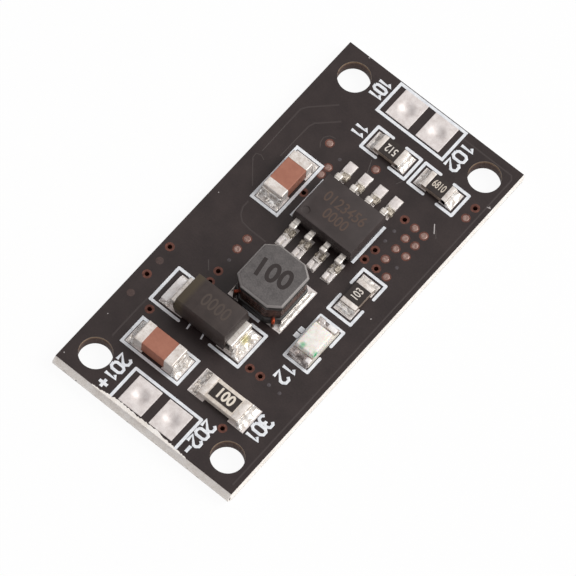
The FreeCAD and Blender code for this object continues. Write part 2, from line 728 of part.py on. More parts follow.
# Controller: a moulded case with a row of gull-wing leads along each long side
legTop = "(chipWidth / 2 + leadShoulder)"
legFoot = f"({legTop} + leadLegRun)"
chipCase = moulded("controller_case", "chipLength", "chipWidth", "chipDraft", "chipStandoff",
                   "chipPartingHeight", "(chipStandoff + chipHeight)")
tip = sizes["chipWidth"] / 2 + sizes["leadShoulder"] + sizes["leadLegRun"] + sizes["leadFootLength"]
rowLeads = []
for row, sign in (("front", -1), ("rear", 1)):
    leads = []
    joints = []
    for number in range(sizes["leadCount"]):
        name = f"controller_lead_{row}_{number + 1}"
        across = f"leadPitch * ({number} - (leadCount - 1) / 2)"
        span, length, width = chipLand
        footprint(name, (f"chipX + {across}", f"{chipY} + {sign} * ({span} - {length}) / 2"), (width, length))
        lead = body(name)
        profile = sketch(lead, f"{name}_side", "YZ_Plane", across)
        over, beneath = "chipPartingHeight + leadThickness / 2", "chipPartingHeight - leadThickness / 2"
        outline(profile, [(f"{sign} * {reach}", level) for reach, level in (
            ("(chipWidth / 2 - leadEmbed)", over), (legTop, over), (legFoot, "leadThickness"),
            (leadReach, "leadThickness"), (leadReach, 0), (f"({legFoot} - leadLegShift)", 0),
            (f"({legTop} - leadLegShift)", beneath), ("(chipWidth / 2 - leadEmbed)", beneath))])
        strip = pad(lead, f"{name}_strip", profile, "leadWidth", middle=True)
        soften(lead, f"{name}_bends", "Fillet", strip, "leadBendRadius",
               lambda point, edge: sizes["chipWidth"] / 2 < abs(point.y) < tip - sizes["leadFootLength"] / 2
               and edge.BoundBox.XLength > sizes["leadWidth"] / 2)
        leads.append(lead)
        joints.append(solderJoint(f"{name}_joint", leadReach, f"(chipToe - {sign} * chipSlip)", width,
                                  "leadWidth", "chipSolderHeight", sign, across))
    rowLeads.append(group(f"controller_row_{row}", leads))
    node(place(group(f"controller_leads_{row}", [rowLeads[-1]]), "chipX", f"{chipY} + chipSlip"))
    node(place(group(f"controller_solder_{row}", joints), "chipX", f"{chipY} + chipSlip"))
dot = rod("controller_dot", ("chipDotInset - chipLength / 2", "chipDotInset - chipWidth / 2"),
          "chipDotRadius", "chipDotDepth", "chipStandoff + chipHeight - chipDotDepth")
controllerCuts = group("controller_cuts", [*rowLeads, dot])
node(place(cut("controller_body", chipCase, controllerCuts), "chipX", f"{chipY} + chipSlip"))

# Power inductor: a ferrite drum with eight-sided flanges, wound between them
padPair("inductor", "coreX", coreY, coreLand)


def flange(drawing, inset=0):
    """A rectangle with its four corners taken off, smaller by inset all round."""
    x, y = f"(coreWidth / 2 - {inset})", f"(coreLength / 2 - {inset})"
    nearX, nearY = f"({x} - coreCornerX)", f"({y} - coreCornerY)"
    outline(drawing, [(nearX, y), (x, nearY), (x, f"-{nearY}"), (nearX, f"-{y}"),
                      (f"-{nearX}", f"-{y}"), (f"-{x}", f"-{nearY}"), (f"-{x}", nearY), (f"-{nearX}", y)])


coreFloor = "coreFootThickness"
coilFloor = f"({coreFloor} + coreBottomFlange)"
coilTop = f"({coreFloor} + coreHeight - coreTopFlange)"
hubRadius = "(coreWidth / 2 - coilInset - coilDepth)"
coreMiddle = "coreX + coreSlip"
core = body("inductor_drum")
base = sketch(core, "inductor_base_outline", level=coreFloor)
flange(base)
pad(core, "inductor_base", base, "coreBottomFlange")
hub = sketch(core, "inductor_hub_outline", level=coilFloor)
circle(hub, (0, 0), hubRadius)
pad(core, "inductor_hub", hub, f"{coilTop} - {coilFloor}")
roof = sketch(core, "inductor_roof_outline", level=coilTop)
flange(roof)
top = pad(core, "inductor_roof", roof, "coreTopFlange")
crown = sizes["coreFootThickness"] + sizes["coreHeight"]
soften(core, "inductor_roof_bevel", "Chamfer", top, "coreEdgeBevel",
       lambda point, edge: edge.BoundBox.ZMin > crown - sizes["coreTopFlange"] / 2)
node(place(group("inductor_core", [core]), coreMiddle, coreY))

# The winding: turns laid side by side, its two ends led out over the front corners of the base
pitch = f"(({coilTop} - {coilFloor}) / coilTurns)"
steps = [("coilInset + coilGroove", coilFloor)]
for turn in range(sizes["coilTurns"]):
    foot = f"{coilFloor} + {pitch} * {turn}"
    steps += [("coilInset", f"{foot} + coilGroove"), ("coilInset", f"{foot} + {pitch} - coilGroove"),
              ("coilInset + coilGroove", f"{foot} + {pitch}")]
turns = []
for inset, level in steps:
    turns.append(doc.addObject("Sketcher::SketchObject", f"inductor_coil_step{len(turns)}"))
    flange(turns[-1], f"({inset})")
    bind(turns[-1], Z=level)
coil = cut("inductor_coil", loft("inductor_coil_turns", turns, ruled=True),
           rod("inductor_coil_eye", (0, 0), hubRadius, f"{coilTop} - {coilFloor}", coilFloor))
cornerX, cornerY = "((coreWidth - coreCornerX) / 2)", "((coreLength - coreCornerY) / 2)"
cornerReach = f"(sqrt({cornerX} ^ 2 + {cornerY} ^ 2) + coilEndRadius + coilEndGap)"
strand = f"({coilFloor} + coilEndRadius)"
ends = []
still, along = FreeCAD.Vector(0, 0, 0), FreeCAD.Vector(1, 0, 0)
for side, sign in (("left", -1), ("right", 1)):
    across = rod(f"inductor_wire_{side}_across", (0, 0), "coilEndRadius", f"{cornerReach} - {hubRadius}")
    across.Placement = FreeCAD.Placement(still, FreeCAD.Rotation(FreeCAD.Vector(0, 1, 0), 90))
    bind(across, X=hubRadius, Y=0, Z=strand)
    knee = bind(doc.addObject("Part::Sphere", f"inductor_wire_{side}_knee"), Radius="coilEndRadius",
                X=cornerReach, Z=strand)
    down = rod(f"inductor_wire_{side}_down", (cornerReach, 0), "coilEndRadius", strand)
    wire = fuse(f"inductor_wire_{side}", [across, knee, down])
    corner = FreeCAD.Vector(sign * (sizes["coreWidth"] - sizes["coreCornerX"]),
                            sizes["coreCornerY"] - sizes["coreLength"], 0)
    wire.Placement = FreeCAD.Placement(still, FreeCAD.Rotation(along, corner))
    ends.append(wire)
node(place(fuse("inductor_winding", [coil, *ends]), coreMiddle, coreY))
feet, joints = [], []
for side, sign in (("a", -1), ("b", 1)):
    under = box(f"inductor_foot_{side}", (f"{sign} * (coreWidth - coreFootLength) / 2", 0),
                ("coreFootLength", coreFootWidth, "coreFootThickness"))
    upright = box(f"inductor_cheek_{side}", (f"{sign} * (coreWidth + coreFootThickness) / 2", 0),
                  ("coreFootThickness", coreFootWidth, "coreFootRise"))
    feet.append(fuse(f"inductor_terminal_{side}", [under, upright]))
    joints.append(solderJoint(f"inductor_joint_{side}", "(coreWidth / 2 + coreFootThickness)",
                              f"(coreToe - coreFootThickness - {sign} * coreSlip)", coreLand[2],
                              coreFootWidth, "coreSolderHeight", sign))
node(place(group("inductor_terminals", feet), coreMiddle, coreY))
node(place(group("inductor_solder", joints), coreMiddle, coreY))

# Copper left bare for the parts, and the mask that covers the rest of both faces
node(group("footprint_copper", copperPads))
viaOpenings = body("via_openings")
discs(viaOpenings, "via_opening_outlines", openVias + pluggedVias, "viaRingRadius", laminateTop,
      "2 * maskThickness")
upperOpenings = [viaOpenings]
lowerOpenings = []
for index, middle in enumerate(mountHoles):
    upperOpenings.append(rod(f"mount_opening_top_{index}", middle, "mountHoleRadius",
                             "2 * maskThickness", laminateTop))
    lowerOpenings.append(rod(f"mount_opening_bottom_{index}", middle, "mountHoleRadius", laminateFloor))
for name, middle in terminals.items():
    face = ("terminalPadWidth", "terminalPadLength")
    upperOpenings.append(box(f"{name}_opening_top", middle, (*face, "2 * maskThickness"), laminateTop))
    lowerOpenings.append(box(f"{name}_opening_bottom", middle, (*face, laminateFloor)))
sheetSize = (boardWidth, faceLength, "maskThickness")
upperMask = box("mask_sheet_top", (0, faceY), sheetSize, laminateTop)
lowerMask = box("mask_sheet_bottom", (0, faceY), sheetSize, f"{laminateFloor} - maskThickness")
node(cut("solder_mask_top", upperMask, group("openings_top", maskOpenings + upperOpenings)))
node(cut("solder_mask_bottom", lowerMask, group("openings_bottom", lowerOpenings)))


# White outlines printed on the mask: closed frames, and strokes that stop at the pads
def frame(name, middle, size):
    """A closed frame, size over its outside."""
    hollow = tuple(f"{side} - 2 * inkWidth" for side in size)
    outer = box(f"{name}_outer", middle, (*size, "inkThickness"), maskTop)
    return cut(name, outer, box(f"{name}_inner", middle, (*hollow, "inkThickness"), maskTop))


def strokes(name, middle, paths, turned=False):
    """Round-ended strokes along paths of (along, across) points measured from middle."""
    drawing = doc.addObject("Sketcher::SketchObject", f"{name}_lines")
    for path in paths:
        points = [(f"-({across})", along) if turned else (along, across) for along, across in path]
        line(drawing, [(f"{middle[0]} + {x}", f"{middle[1]} + {y}") for x, y in points])
    bind(drawing, Z=maskTop)
    ribbon = doc.addObject("Part::Offset2D", f"{name}_ribbon")
    ribbon.Source = drawing
    ribbon.Fill = True
    bind(ribbon, Value="inkWidth / 2")
    solid = doc.addObject("Part::Extrusion", name)
    solid.Base = ribbon
    solid.DirMode = "Custom"
    solid.Dir = FreeCAD.Vector(0, 0, 1)
    solid.Solid = True
    return bind(solid, LengthFwd="inkThickness")


ink = [frame("input_capacitor_frame", (inputCapacitorX, inputCapacitorY), capacitorInk[::-1]),
       frame("battery_capacitor_frame", ("batteryCapacitorX", capacitorY), capacitorInk)]
terminalInkWidth = "(terminalPitch + terminalPadWidth + 2 * (terminalInkSideGap + inkWidth))"
near = f"({faceLength} / 2 - {terminalDepth})"
far = f"({terminalY} + terminalPadLength / 2 + terminalInkOuterGap + inkWidth)"
ink.append(frame("input_terminal_frame", ("terminalX", f"{faceY} + ({near} + {far}) / 2"),
                 (terminalInkWidth, f"{far} - {near}")))
side = f"({terminalInkWidth} - inkWidth) / 2"
top, end = f"-({near} + inkWidth / 2)", f"-({faceLength} - inkWidth) / 2"
ink.append(strokes("battery_terminal_frame", ("terminalX", faceY), [
    [(f"-{side}", end), (f"-{side}", top), (side, top), (side, end)]]))


def middles(outside):
    """Half the length and width of an outline, taken along the middle of its stroke."""
    return [f"({length} - inkWidth) / 2" for length in outside]


end, side = middles(resistorInk)
gap = "(resistorInkBreak + inkWidth) / 2"
for name, x, y, turned in (("program_resistor_frame", "programResistorX", resistorY, False),
                           ("supply_resistor_frame", supplyResistorX, resistorY, False),
                           ("lamp_resistor_frame", lampX, lampResistorY, True)):
    ink.append(strokes(name, (x, y), [
        [(f"{sign}{gap}", side), (f"{sign}{end}", side),
         (f"{sign}{end}", f"-{side}"), (f"{sign}{gap}", f"-{side}")]
        for sign in ("", "-")], turned))
end, side = middles(lampInk)
gap = "(lampInkBreak + inkWidth) / 2"
ink.append(strokes("lamp_frame", (lampX, lampY), [
    [(gap, f"-{side}"), (end, f"-{side}"), (end, side),
     (f"-{end}", side), (f"-{end}", f"-{side}"), (f"-{gap}", f"-{side}")]
], turned=True))
for name, sign in (("lamp_mark_front", "-"), ("lamp_mark_rear", "+")):
    middle = (f"{lampX} - ({lampInk[1]} + lampMarkSize) / 2",
              f"{lampY} {sign} (lampMarkSize + lampMarkGap) / 2")
    ink.append(box(name, middle, ("lampMarkSize", "lampMarkSize", "inkThickness"), maskTop))
end, side = middles(diodeInk)
rear, front = (f"({end} + inkWidth - {arm})" for arm in ("diodeInkArmRear", "diodeInkArmFront"))
ink.append(strokes("diode_frame", ("(diodeX - diodeInkShift)", diodeY), [
    [(f"{sign}{rear}", side), (f"{sign}{end}", side),
     (f"{sign}{end}", f"-{side}"), (f"{sign}{front}", f"-{side}")]
    for sign in ("", "-")]))
for name, sign in (("controller_line_left", "-"), ("controller_line_right", "+")):
    middle = (f"{chipInkX} {sign} ({chipInkReach} - inkWidth / 2)", chipY)
    ink.append(box(name, middle, ("inkWidth", "chipInkLength", "inkThickness"), maskTop))
ink.append(box("inductor_line", (coreMiddle, f"{coreY} - coreLength / 2 - coreInkGap - inkWidth / 2"),
               ("coreInkLength", "inkWidth", "inkThickness"), maskTop))
node(group("legend_outlines", ink))

# Every object is sound before anything is written
doc.recompute()
faults = [thing.Name for thing in doc.Objects if {"Invalid", "Error"} & set(thing.State)]
faults += [piece.Name for piece in nodes if piece.Shape.isNull() or not piece.Shape.isValid()]
if faults:
    raise RuntimeError(f"unsound objects: {faults}")
os.makedirs("parts", exist_ok=True)
for piece in nodes:
    piece.Shape.exportStep(f"parts/{piece.Name}.step")
print(f"{len(nodes)} sub-parts written")
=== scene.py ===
import json
import math

import bpy
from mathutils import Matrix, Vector, noise


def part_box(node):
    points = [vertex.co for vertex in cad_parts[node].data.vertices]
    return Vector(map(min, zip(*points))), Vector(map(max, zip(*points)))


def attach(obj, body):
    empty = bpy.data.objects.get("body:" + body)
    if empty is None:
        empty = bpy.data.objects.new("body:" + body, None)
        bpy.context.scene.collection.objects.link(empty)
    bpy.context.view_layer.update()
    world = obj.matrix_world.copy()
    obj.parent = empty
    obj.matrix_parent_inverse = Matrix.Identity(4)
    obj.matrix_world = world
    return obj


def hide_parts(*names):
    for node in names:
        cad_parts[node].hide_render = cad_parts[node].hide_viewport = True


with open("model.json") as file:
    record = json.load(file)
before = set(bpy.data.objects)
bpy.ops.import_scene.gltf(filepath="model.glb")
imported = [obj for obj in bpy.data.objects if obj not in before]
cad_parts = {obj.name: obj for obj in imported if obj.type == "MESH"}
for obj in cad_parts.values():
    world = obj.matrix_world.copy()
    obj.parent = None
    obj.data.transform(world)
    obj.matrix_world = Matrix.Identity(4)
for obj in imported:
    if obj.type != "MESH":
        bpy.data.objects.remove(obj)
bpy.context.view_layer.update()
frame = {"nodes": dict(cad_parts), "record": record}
nodes = frame["nodes"]
print("frame loaded:", len(nodes), "nodes")

mm = 0.001
boardTop = 1.07 * mm             # upper face of the lacquer and of the pads
inkTop = 1.09 * mm
hair = 0.001 * mm                # less than any length that is modelled
flatAngle = math.radians(1)      # faces that meet at less are one face
cornerAngle = math.radians(25)   # edges that turn by more are rounded
noiseSpan = (0.35, 0.65)         # where nearly all of a noise's values lie
noiseShare = 0.4                 # how much the second of two noises weighs in a colour
lightReach = 0.3 * mm            # how far light wanders inside a milky epoxy
bandBlur = 0.15                  # mm on either side of a band's edge


def linear(hexText):
    # sRGB hex to the linear colour that the shaders work in
    channels = [int(hexText[i:i + 2], 16) / 255 for i in (0, 2, 4)]
    return [c / 12.92 if c <= 0.04045 else ((c + 0.055) / 1.055) ** 2.4 for c in channels] + [1.0]


# The camera stands where the photograph was taken from
cameraSettings = {
    "place": (86.725, -137.746, 353.829),     # mm from the middle of the board's underside
    "turn": (24.33258, -3.36840, 39.59154),   # degrees about X, Y, Z
    "lens": 375.0,
    "sensor": 36.0,
    "clip": (0.01, 20.0),                     # metres
}
camera = bpy.data.objects.new("camera", bpy.data.cameras.new("camera"))
bpy.context.scene.collection.objects.link(camera)
camera.location = [v * mm for v in cameraSettings["place"]]
camera.rotation_euler = [math.radians(v) for v in cameraSettings["turn"]]
camera.data.lens = cameraSettings["lens"]
camera.data.sensor_width = cameraSettings["sensor"]
camera.data.clip_start, camera.data.clip_end = cameraSettings["clip"]
bpy.context.scene.camera = camera
bpy.context.scene.view_settings.view_transform = "Standard"
print("camera set")


def addNode(tree, kind, sockets=None, stops=None, **settings):
    # one node with its settings, its socket values or links, and for a ramp its colour stops
    made = tree.nodes.new(kind)
    for name, value in settings.items():
        setattr(made, name, value)
    for name, value in (sockets or {}).items():
        if isinstance(value, bpy.types.NodeSocket):
            tree.links.new(value, made.inputs[name])
        else:
            made.inputs[name].default_value = value
    for index, (place, colour) in enumerate(stops or []):
        elements = made.color_ramp.elements
        stop = elements[index] if index < len(elements) else elements.new(place)
        stop.position = place
        stop.color = linear(colour) if isinstance(colour, str) else [colour] * 3 + [1.0]
    return made


def newMaterial(name):
    material = bpy.data.materials.new(name)
    material.use_nodes = True
    material.node_tree.nodes.clear()
    return material, material.node_tree


def blended(tree, first, second, share):
    # two noises added up, the second with its share
    part = addNode(tree, "ShaderNodeMath", {0: second, 1: share}, operation="MULTIPLY")
    both = addNode(tree, "ShaderNodeMath", {0: first, 1: 1 - share, 2: part.outputs[0]},
                   operation="MULTIPLY_ADD")
    return both.outputs[0]


def surface(tree, look, colour, height):
    # the shader of one finish: its colour, with roughness and relief that follow the height
    rough = addNode(tree, "ShaderNodeMapRange", {
        "Value": height, "From Min": noiseSpan[0], "From Max": noiseSpan[1],
        "To Min": look["rough"][0], "To Max": look["rough"][1]})
    bump = addNode(tree, "ShaderNodeBump", {
        "Height": height, "Distance": look["bump"] * mm, "Strength": 1.0})
    shader = addNode(tree, "ShaderNodeBsdfPrincipled",
                     {"Base Color": colour, "Roughness": rough.outputs["Result"],
                      "Normal": bump.outputs["Normal"], "Metallic": look.get("metallic", 0.0),
                      "Specular IOR Level": look.get("specular", 0.5),
                      "Subsurface Weight": look.get("depth", 0.0), "Subsurface Scale": lightReach})
    if "ior" in look:       # metals keep the usual one
        shader.inputs["IOR"].default_value = look["ior"]
    addNode(tree, "ShaderNodeOutputMaterial", {"Surface": shader.outputs["BSDF"]})


def mottled(name, look):
    # colour that drifts in patches, with a fine grain that also roughens the surface. Sizes are in mm,
    # and "swell" is how much of the relief comes from the patches.
    material, tree = newMaterial(name)
    place = addNode(tree, "ShaderNodeTexCoord").outputs["Object"]
    stretched = addNode(tree, "ShaderNodeMapping", {
        "Vector": place, "Scale": look.get("stretch", (1, 1, 1))}).outputs["Vector"]
    patches, grain = (
        addNode(tree, "ShaderNodeTexNoise", {
            "Vector": stretched, "Scale": 1 / (look[size] * mm), "Detail": detail,
            "Roughness": rough}).outputs["Fac"]
        for size, detail, rough in (("patch", 3.0, 0.55), ("grain", 4.0, 0.6)))
    colour = addNode(tree, "ShaderNodeValToRGB", {"Fac": blended(tree, patches, grain, noiseShare)},
                     stops=[(0.36, look["dark"]), (0.64, look["light"])]).outputs["Color"]
    if "band" in look:      # another shade beyond a place along X
        edge, shade = look["band"]
        split = addNode(tree, "ShaderNodeSeparateXYZ", {"Vector": place})
        past = addNode(tree, "ShaderNodeMapRange", {
            "Value": split.outputs["X"], "From Min": (edge + bandBlur) * mm,
            "From Max": (edge - bandBlur) * mm})
        colour = addNode(tree, "ShaderNodeMix", {0: past.outputs["Result"], 6: colour, 7: linear(shade)},
                         data_type="RGBA").outputs[2]
    if "stainAndReflection" in look:      # soft round spots about points: stains, and on the diode's solder a painted reflection
        shade, spots, (inner, outer) = look["stainAndReflection"]
        for spot in spots:
            away = addNode(tree, "ShaderNodeVectorMath", {0: place, 1: [v * mm for v in spot]},
                           operation="DISTANCE")
            near = addNode(tree, "ShaderNodeMapRange", {
                "Value": away.outputs["Value"], "From Min": outer * mm, "From Max": inner * mm})
            colour = addNode(tree, "ShaderNodeMix", {
                0: near.outputs["Result"], 6: colour, 7: linear(shade)}, data_type="RGBA").outputs[2]
    surface(tree, look, colour, blended(tree, grain, patches, look.get("swell", 0.0)))
    return material


def cutLaminate(name, look):
    # glass laminate: pale where the board was snapped; down the drilled holes the brown walls are painted
    # darker towards the bottom as shade and tan at their rims as painted light. The four mounting holes are
    # mirror images: one distance in the folded board serves them all.
    material, tree = newMaterial(name)
    place = addNode(tree, "ShaderNodeTexCoord").outputs["Object"]
    split = addNode(tree, "ShaderNodeSeparateXYZ", {"Vector": place})
    side = addNode(tree, "ShaderNodeMath", {0: split.outputs["X"]}, operation="ABSOLUTE")
    centred = addNode(tree, "ShaderNodeMath", {0: split.outputs["Y"], 1: look["middle"] * mm},
                      operation="SUBTRACT")
    along = addNode(tree, "ShaderNodeMath", {0: centred.outputs[0]}, operation="ABSOLUTE")
    folded = addNode(tree, "ShaderNodeCombineXYZ", {"X": side.outputs[0], "Y": along.outputs[0]})
    away = addNode(tree, "ShaderNodeVectorMath", {0: folded.outputs[0], 1: [v * mm for v in look["hole"]]},
                   operation="DISTANCE")
    inside = addNode(tree, "ShaderNodeMapRange", {
        "Value": away.outputs["Value"], "From Min": look["wallReach"][1] * mm,
        "From Max": look["wallReach"][0] * mm})
    grain = addNode(tree, "ShaderNodeTexNoise", {
        "Vector": place, "Scale": 1 / (look["grain"] * mm), "Detail": 4.0}).outputs["Fac"]
    blotch = addNode(tree, "ShaderNodeTexNoise", {
        "Vector": place, "Scale": 1 / (look["patch"] * mm), "Detail": 3.0}).outputs["Fac"]
    pale = addNode(tree, "ShaderNodeValToRGB", {"Fac": blended(tree, grain, blotch, look["share"])},
                   stops=look["snapped"])
    depth = addNode(tree, "ShaderNodeMapRange", {
        "Value": split.outputs["Z"], "From Min": look["faces"][0] * mm, "From Max": look["faces"][1] * mm})
    # the hole wall's colour up its height: painted shade low down, a tan band of painted light at the top
    wall = addNode(tree, "ShaderNodeValToRGB", {"Fac": depth.outputs["Result"]}, stops=look["drilled"])
    colour = addNode(tree, "ShaderNodeMix", {
        0: inside.outputs["Result"], 6: pale.outputs["Color"], 7: wall.outputs["Color"]}, data_type="RGBA")
    surface(tree, look, colour.outputs[2], grain)
    return material


def groundFerrite(name, look):
    # pressed powder: speckled where it was ground, its sides painted darker as shade, a highlight painted
    # along its rims
    material, tree = newMaterial(name)
    place = addNode(tree, "ShaderNodeTexCoord").outputs["Object"]
    speckle = addNode(tree, "ShaderNodeTexNoise", {
        "Vector": place, "Scale": 1 / (look["grain"] * mm), "Detail": 4.0, "Roughness": 0.6}).outputs["Fac"]
    cloud = addNode(tree, "ShaderNodeTexNoise", {
        "Vector": place, "Scale": 1 / (look["patch"] * mm), "Detail": 3.0}).outputs["Fac"]
    level = blended(tree, speckle, cloud, noiseShare)
    ground = addNode(tree, "ShaderNodeValToRGB", {"Fac": level}, stops=look["top"])
    # the sides' colour: painted shade
    sideShade = addNode(tree, "ShaderNodeValToRGB", {"Fac": level}, stops=look["side"])
    normal = addNode(tree, "ShaderNodeNewGeometry").outputs["Normal"]
    upward = addNode(tree, "ShaderNodeSeparateXYZ", {"Vector": normal}).outputs["Z"]
    height = addNode(tree, "ShaderNodeSeparateXYZ", {"Vector": place}).outputs["Z"]
    lying, high, tilted = (
        addNode(tree, "ShaderNodeMapRange", {
            "Value": value, "From Min": start, "From Max": end}).outputs["Result"]
        for value, (start, end) in ((upward, look["lying"]), (height, [v * mm for v in look["high"]]),
                                    (upward, look["tilted"])))
    above = addNode(tree, "ShaderNodeMath", {0: lying, 1: high}, operation="MULTIPLY").outputs[0]
    base = addNode(tree, "ShaderNodeMix", {0: above, 6: sideShade.outputs["Color"], 7: ground.outputs["Color"]},
                   data_type="RGBA")
    # the rims' colour: a painted highlight
    rim = addNode(tree, "ShaderNodeMath", {0: tilted, 1: above}, operation="MULTIPLY")
    colour = addNode(tree, "ShaderNodeMix", {0: rim.outputs[0], 6: base.outputs[2], 7: linear(look["rim"])},
                     data_type="RGBA")
    surface(tree, look, colour.outputs[2], speckle)
    return material


finishes = {
    # FR4 laminate, drilled, scored and snapped: woven glass in epoxy, pale and dusty where it broke
    "laminate": cutLaminate("fr4_laminate", {
        "middle": 0.1, "hole": (5.52, 13.13, 0), "wallReach": (1.2, 1.3), "faces": (0.035, 1.035),
        "grain": 0.09, "patch": 0.8, "share": 0.5, "rough": (0.6, 0.85), "bump": 0.02, "ior": 1.5,
        "snapped": [(0.3, "e0d8cf"), (0.5, "f3eee8"), (0.68, "fdfbf8")],
        # hole walls: dark brown below as painted shade, tan at the top as painted light
        "drilled": [(0.0, "3a241b"), (0.72, "4a2e22"), (0.86, "8c7058"), (1.0, "b39a7c")]}),
    # liquid photoimageable solder mask: a brown-black lacquer with a satin face, faintly clouded
    "solder_mask": mottled("solder_mask_lacquer", {
        "dark": "292020", "light": "372d2c", "patch": 1.6, "grain": 0.12, "rough": (0.3, 0.42),
        "bump": 0.0008, "specular": 0.4, "ior": 1.5}),
    # screen-printed epoxy ink, slightly blue beside the warm board
    "legend_ink": mottled("legend_ink", {
        "dark": "dde2e9", "light": "f6f9fc", "patch": 0.4, "grain": 0.08, "rough": (0.5, 0.7),
        "bump": 0.004, "ior": 1.5}),
    # electrolytic copper under a thin film of lacquer: dull red-brown
    "copper": mottled("lacquered_copper", {
        "dark": "4a2a22", "light": "7d4d40", "patch": 0.2, "grain": 0.05, "rough": (0.3, 0.5),
        "bump": 0.006, "metallic": 0.3}),
    # hot-air-levelled tin, frosted, with a broad soft sheen
    "tin": mottled("levelled_tin", {
        "dark": "dcd4d1", "light": "f5f0ee", "patch": 0.4, "grain": 0.07, "rough": (0.48, 0.62),
        "bump": 0.004, "metallic": 0.5}),
    # reflowed tin alloy, lumpy and bright, warm where flux stayed
    "solder": mottled("reflowed_solder", {
        "dark": "d2c7bc", "light": "fffefc", "patch": 0.35, "grain": 0.08, "rough": (0.16, 0.34),
        "bump": 0.0025, "metallic": 0.55, "swell": 0.8}),
    # barium titanate ceramic, fired terracotta brown
    "capacitor_ceramic": mottled("capacitor_ceramic", {
        "dark": "9e624d", "light": "ac705a", "patch": 0.5, "grain": 0.07, "rough": (0.45, 0.6),
        "bump": 0.002, "ior": 1.6}),
    # tinned silver end terminations, dipped and slightly uneven
    "end_metal": mottled("tinned_ends", {
        "dark": "d9cfc6", "light": "faf6f2", "patch": 0.3, "grain": 0.07, "rough": (0.3, 0.5),
        "bump": 0.012, "metallic": 0.5, "swell": 0.5}),
    # fired alumina, grey-brown with handling and flux
    "alumina": mottled("alumina", {
        "dark": "7d6c60", "light": "a99a8c", "patch": 0.3, "grain": 0.05, "rough": (0.5, 0.7),
        "bump": 0.003, "ior": 1.7}),
    # protective resistor glaze: nearly black glass
    "resistor_glaze": mottled("resistor_glaze", {
        "dark": "231c19", "light": "312824", "patch": 0.3, "grain": 0.06, "rough": (0.3, 0.4),
        "bump": 0.002, "ior": 1.5}),
    # epoxy moulding compound: matt charcoal with a trace of brown
    "chip_mould": mottled("chip_epoxy", {
        "dark": "3c3534", "light": "463e3d", "patch": 0.9, "grain": 0.06, "rough": (0.5, 0.65),
        "bump": 0.004, "specular": 0.3, "ior": 1.55}),
    # tin-plated lead frame
    "lead_metal": mottled("tinned_leads", {
        "dark": "ddd5cb", "light": "fdfaf6", "patch": 0.25, "grain": 0.06, "rough": (0.25, 0.4),
        "bump": 0.006, "metallic": 0.65, "swell": 0.5}),
    # pressed ferrite: its top ground to a speckled grey, its sides painted dark as shade, a highlight
    # painted on its rims
    "ferrite": groundFerrite("pressed_ferrite", {
        "top": [(0.38, "393434"), (0.62, "5d5857")], "side": [(0.38, "161312"), (0.62, "2a2523")],
        "rim": "85807e", "lying": (0.25, 0.6), "high": (3.45, 3.6), "tilted": (0.97, 0.85),
        "grain": 0.09, "patch": 0.6, "rough": (0.4, 0.6), "bump": 0.008, "ior": 1.8}),
    # enamelled copper wire, dark red-brown, its turns lying one on another
    "coil_wire": mottled("enamelled_wire", {
        "dark": "1f1412", "light": "6b5047", "patch": 0.5, "grain": 0.12, "rough": (0.3, 0.5),
        "bump": 0.006, "metallic": 0.4, "stretch": (1.6, 1.6, 0.35),
        "stainAndReflection": ("c4491c", [(-1.25, -4.14, 2.2), (1.98, -4.1, 1.85)], (0.14, 0.36))}),
    # epoxy moulding compound of the diode, olive towards its marked end and slightly shiny
    "diode_mould": mottled("diode_epoxy", {
        "dark": "372f2d", "light": "453c39", "patch": 0.8, "grain": 0.06, "rough": (0.45, 0.6),
        "bump": 0.004, "specular": 0.3, "ior": 1.55, "band": (-2.95, "4d4437")}),
    # white BT laminate of the lamp
    "lamp_base": mottled("lamp_laminate", {
        "dark": "d8d0c2", "light": "f1ebe0", "patch": 0.3, "grain": 0.05, "rough": (0.5, 0.7),
        "bump": 0.002, "ior": 1.5}),
    # cast epoxy lens, milky cream, stained green at two corners
    "lamp_lens": mottled("lamp_epoxy", {
        "dark": "eee5dc", "light": "fffdf9", "patch": 0.35, "grain": 0.07, "rough": (0.25, 0.4),
        "bump": 0.006, "depth": 0.2, "swell": 0.5, "ior": 1.5,
        "stainAndReflection": ("5fbf8a", [(4.4, -4.2, 1.95), (5.38, -4.18, 1.9)], (0.1, 0.3))}),
}
slotOf = {}
for entry in frame["record"]["materials"]:
    for member in entry.get("nodes", []):
        slotOf[member] = entry["slot"]
for name, part in nodes.items():
    for place in part.material_slots:
        slot = slotOf.get(name) or place.material.name.split(".")[0]
        if slot in finishes:
            place.material = finishes[slot]
        else:
            print("no finish for", name, place.material.name)
print("materials given")


def only(piece):
    # the one object that the next operators act on
    bpy.ops.object.select_all(action="DESELECT")
    piece.select_set(True)
    bpy.context.view_layer.objects.active = piece


def copyOf(source, name):
    # a node's mesh as an object of its own, its loose triangles merged
    piece = bpy.data.objects.new(name, nodes[source].data.copy())
    bpy.context.scene.collection.objects.link(piece)
    only(piece)
    bpy.ops.object.mode_set(mode="EDIT")
    bpy.ops.mesh.select_all(action="SELECT")
    bpy.ops.mesh.remove_doubles(threshold=hair / 2)
    bpy.ops.object.mode_set(mode="OBJECT")
    return piece


def joined(pieces, name):
    only(pieces[0])
    for piece in pieces[1:]:
        piece.select_set(True)
    if len(pieces) > 1:
        bpy.ops.object.join()
    made = bpy.context.object
    made.name = made.data.name = name
    return made


def settle(piece):
    # puts the object at the origin, its place in its mesh
    only(piece)
    bpy.ops.object.transform_apply(location=True, rotation=True, scale=True)


def modified(piece, kind, **settings):
    only(piece)
    modifier = piece.modifiers.new(kind.lower(), kind)
    for name, value in settings.items():
        setattr(modifier, name, value)
    bpy.ops.object.modifier_apply(modifier=modifier.name)
    return piece


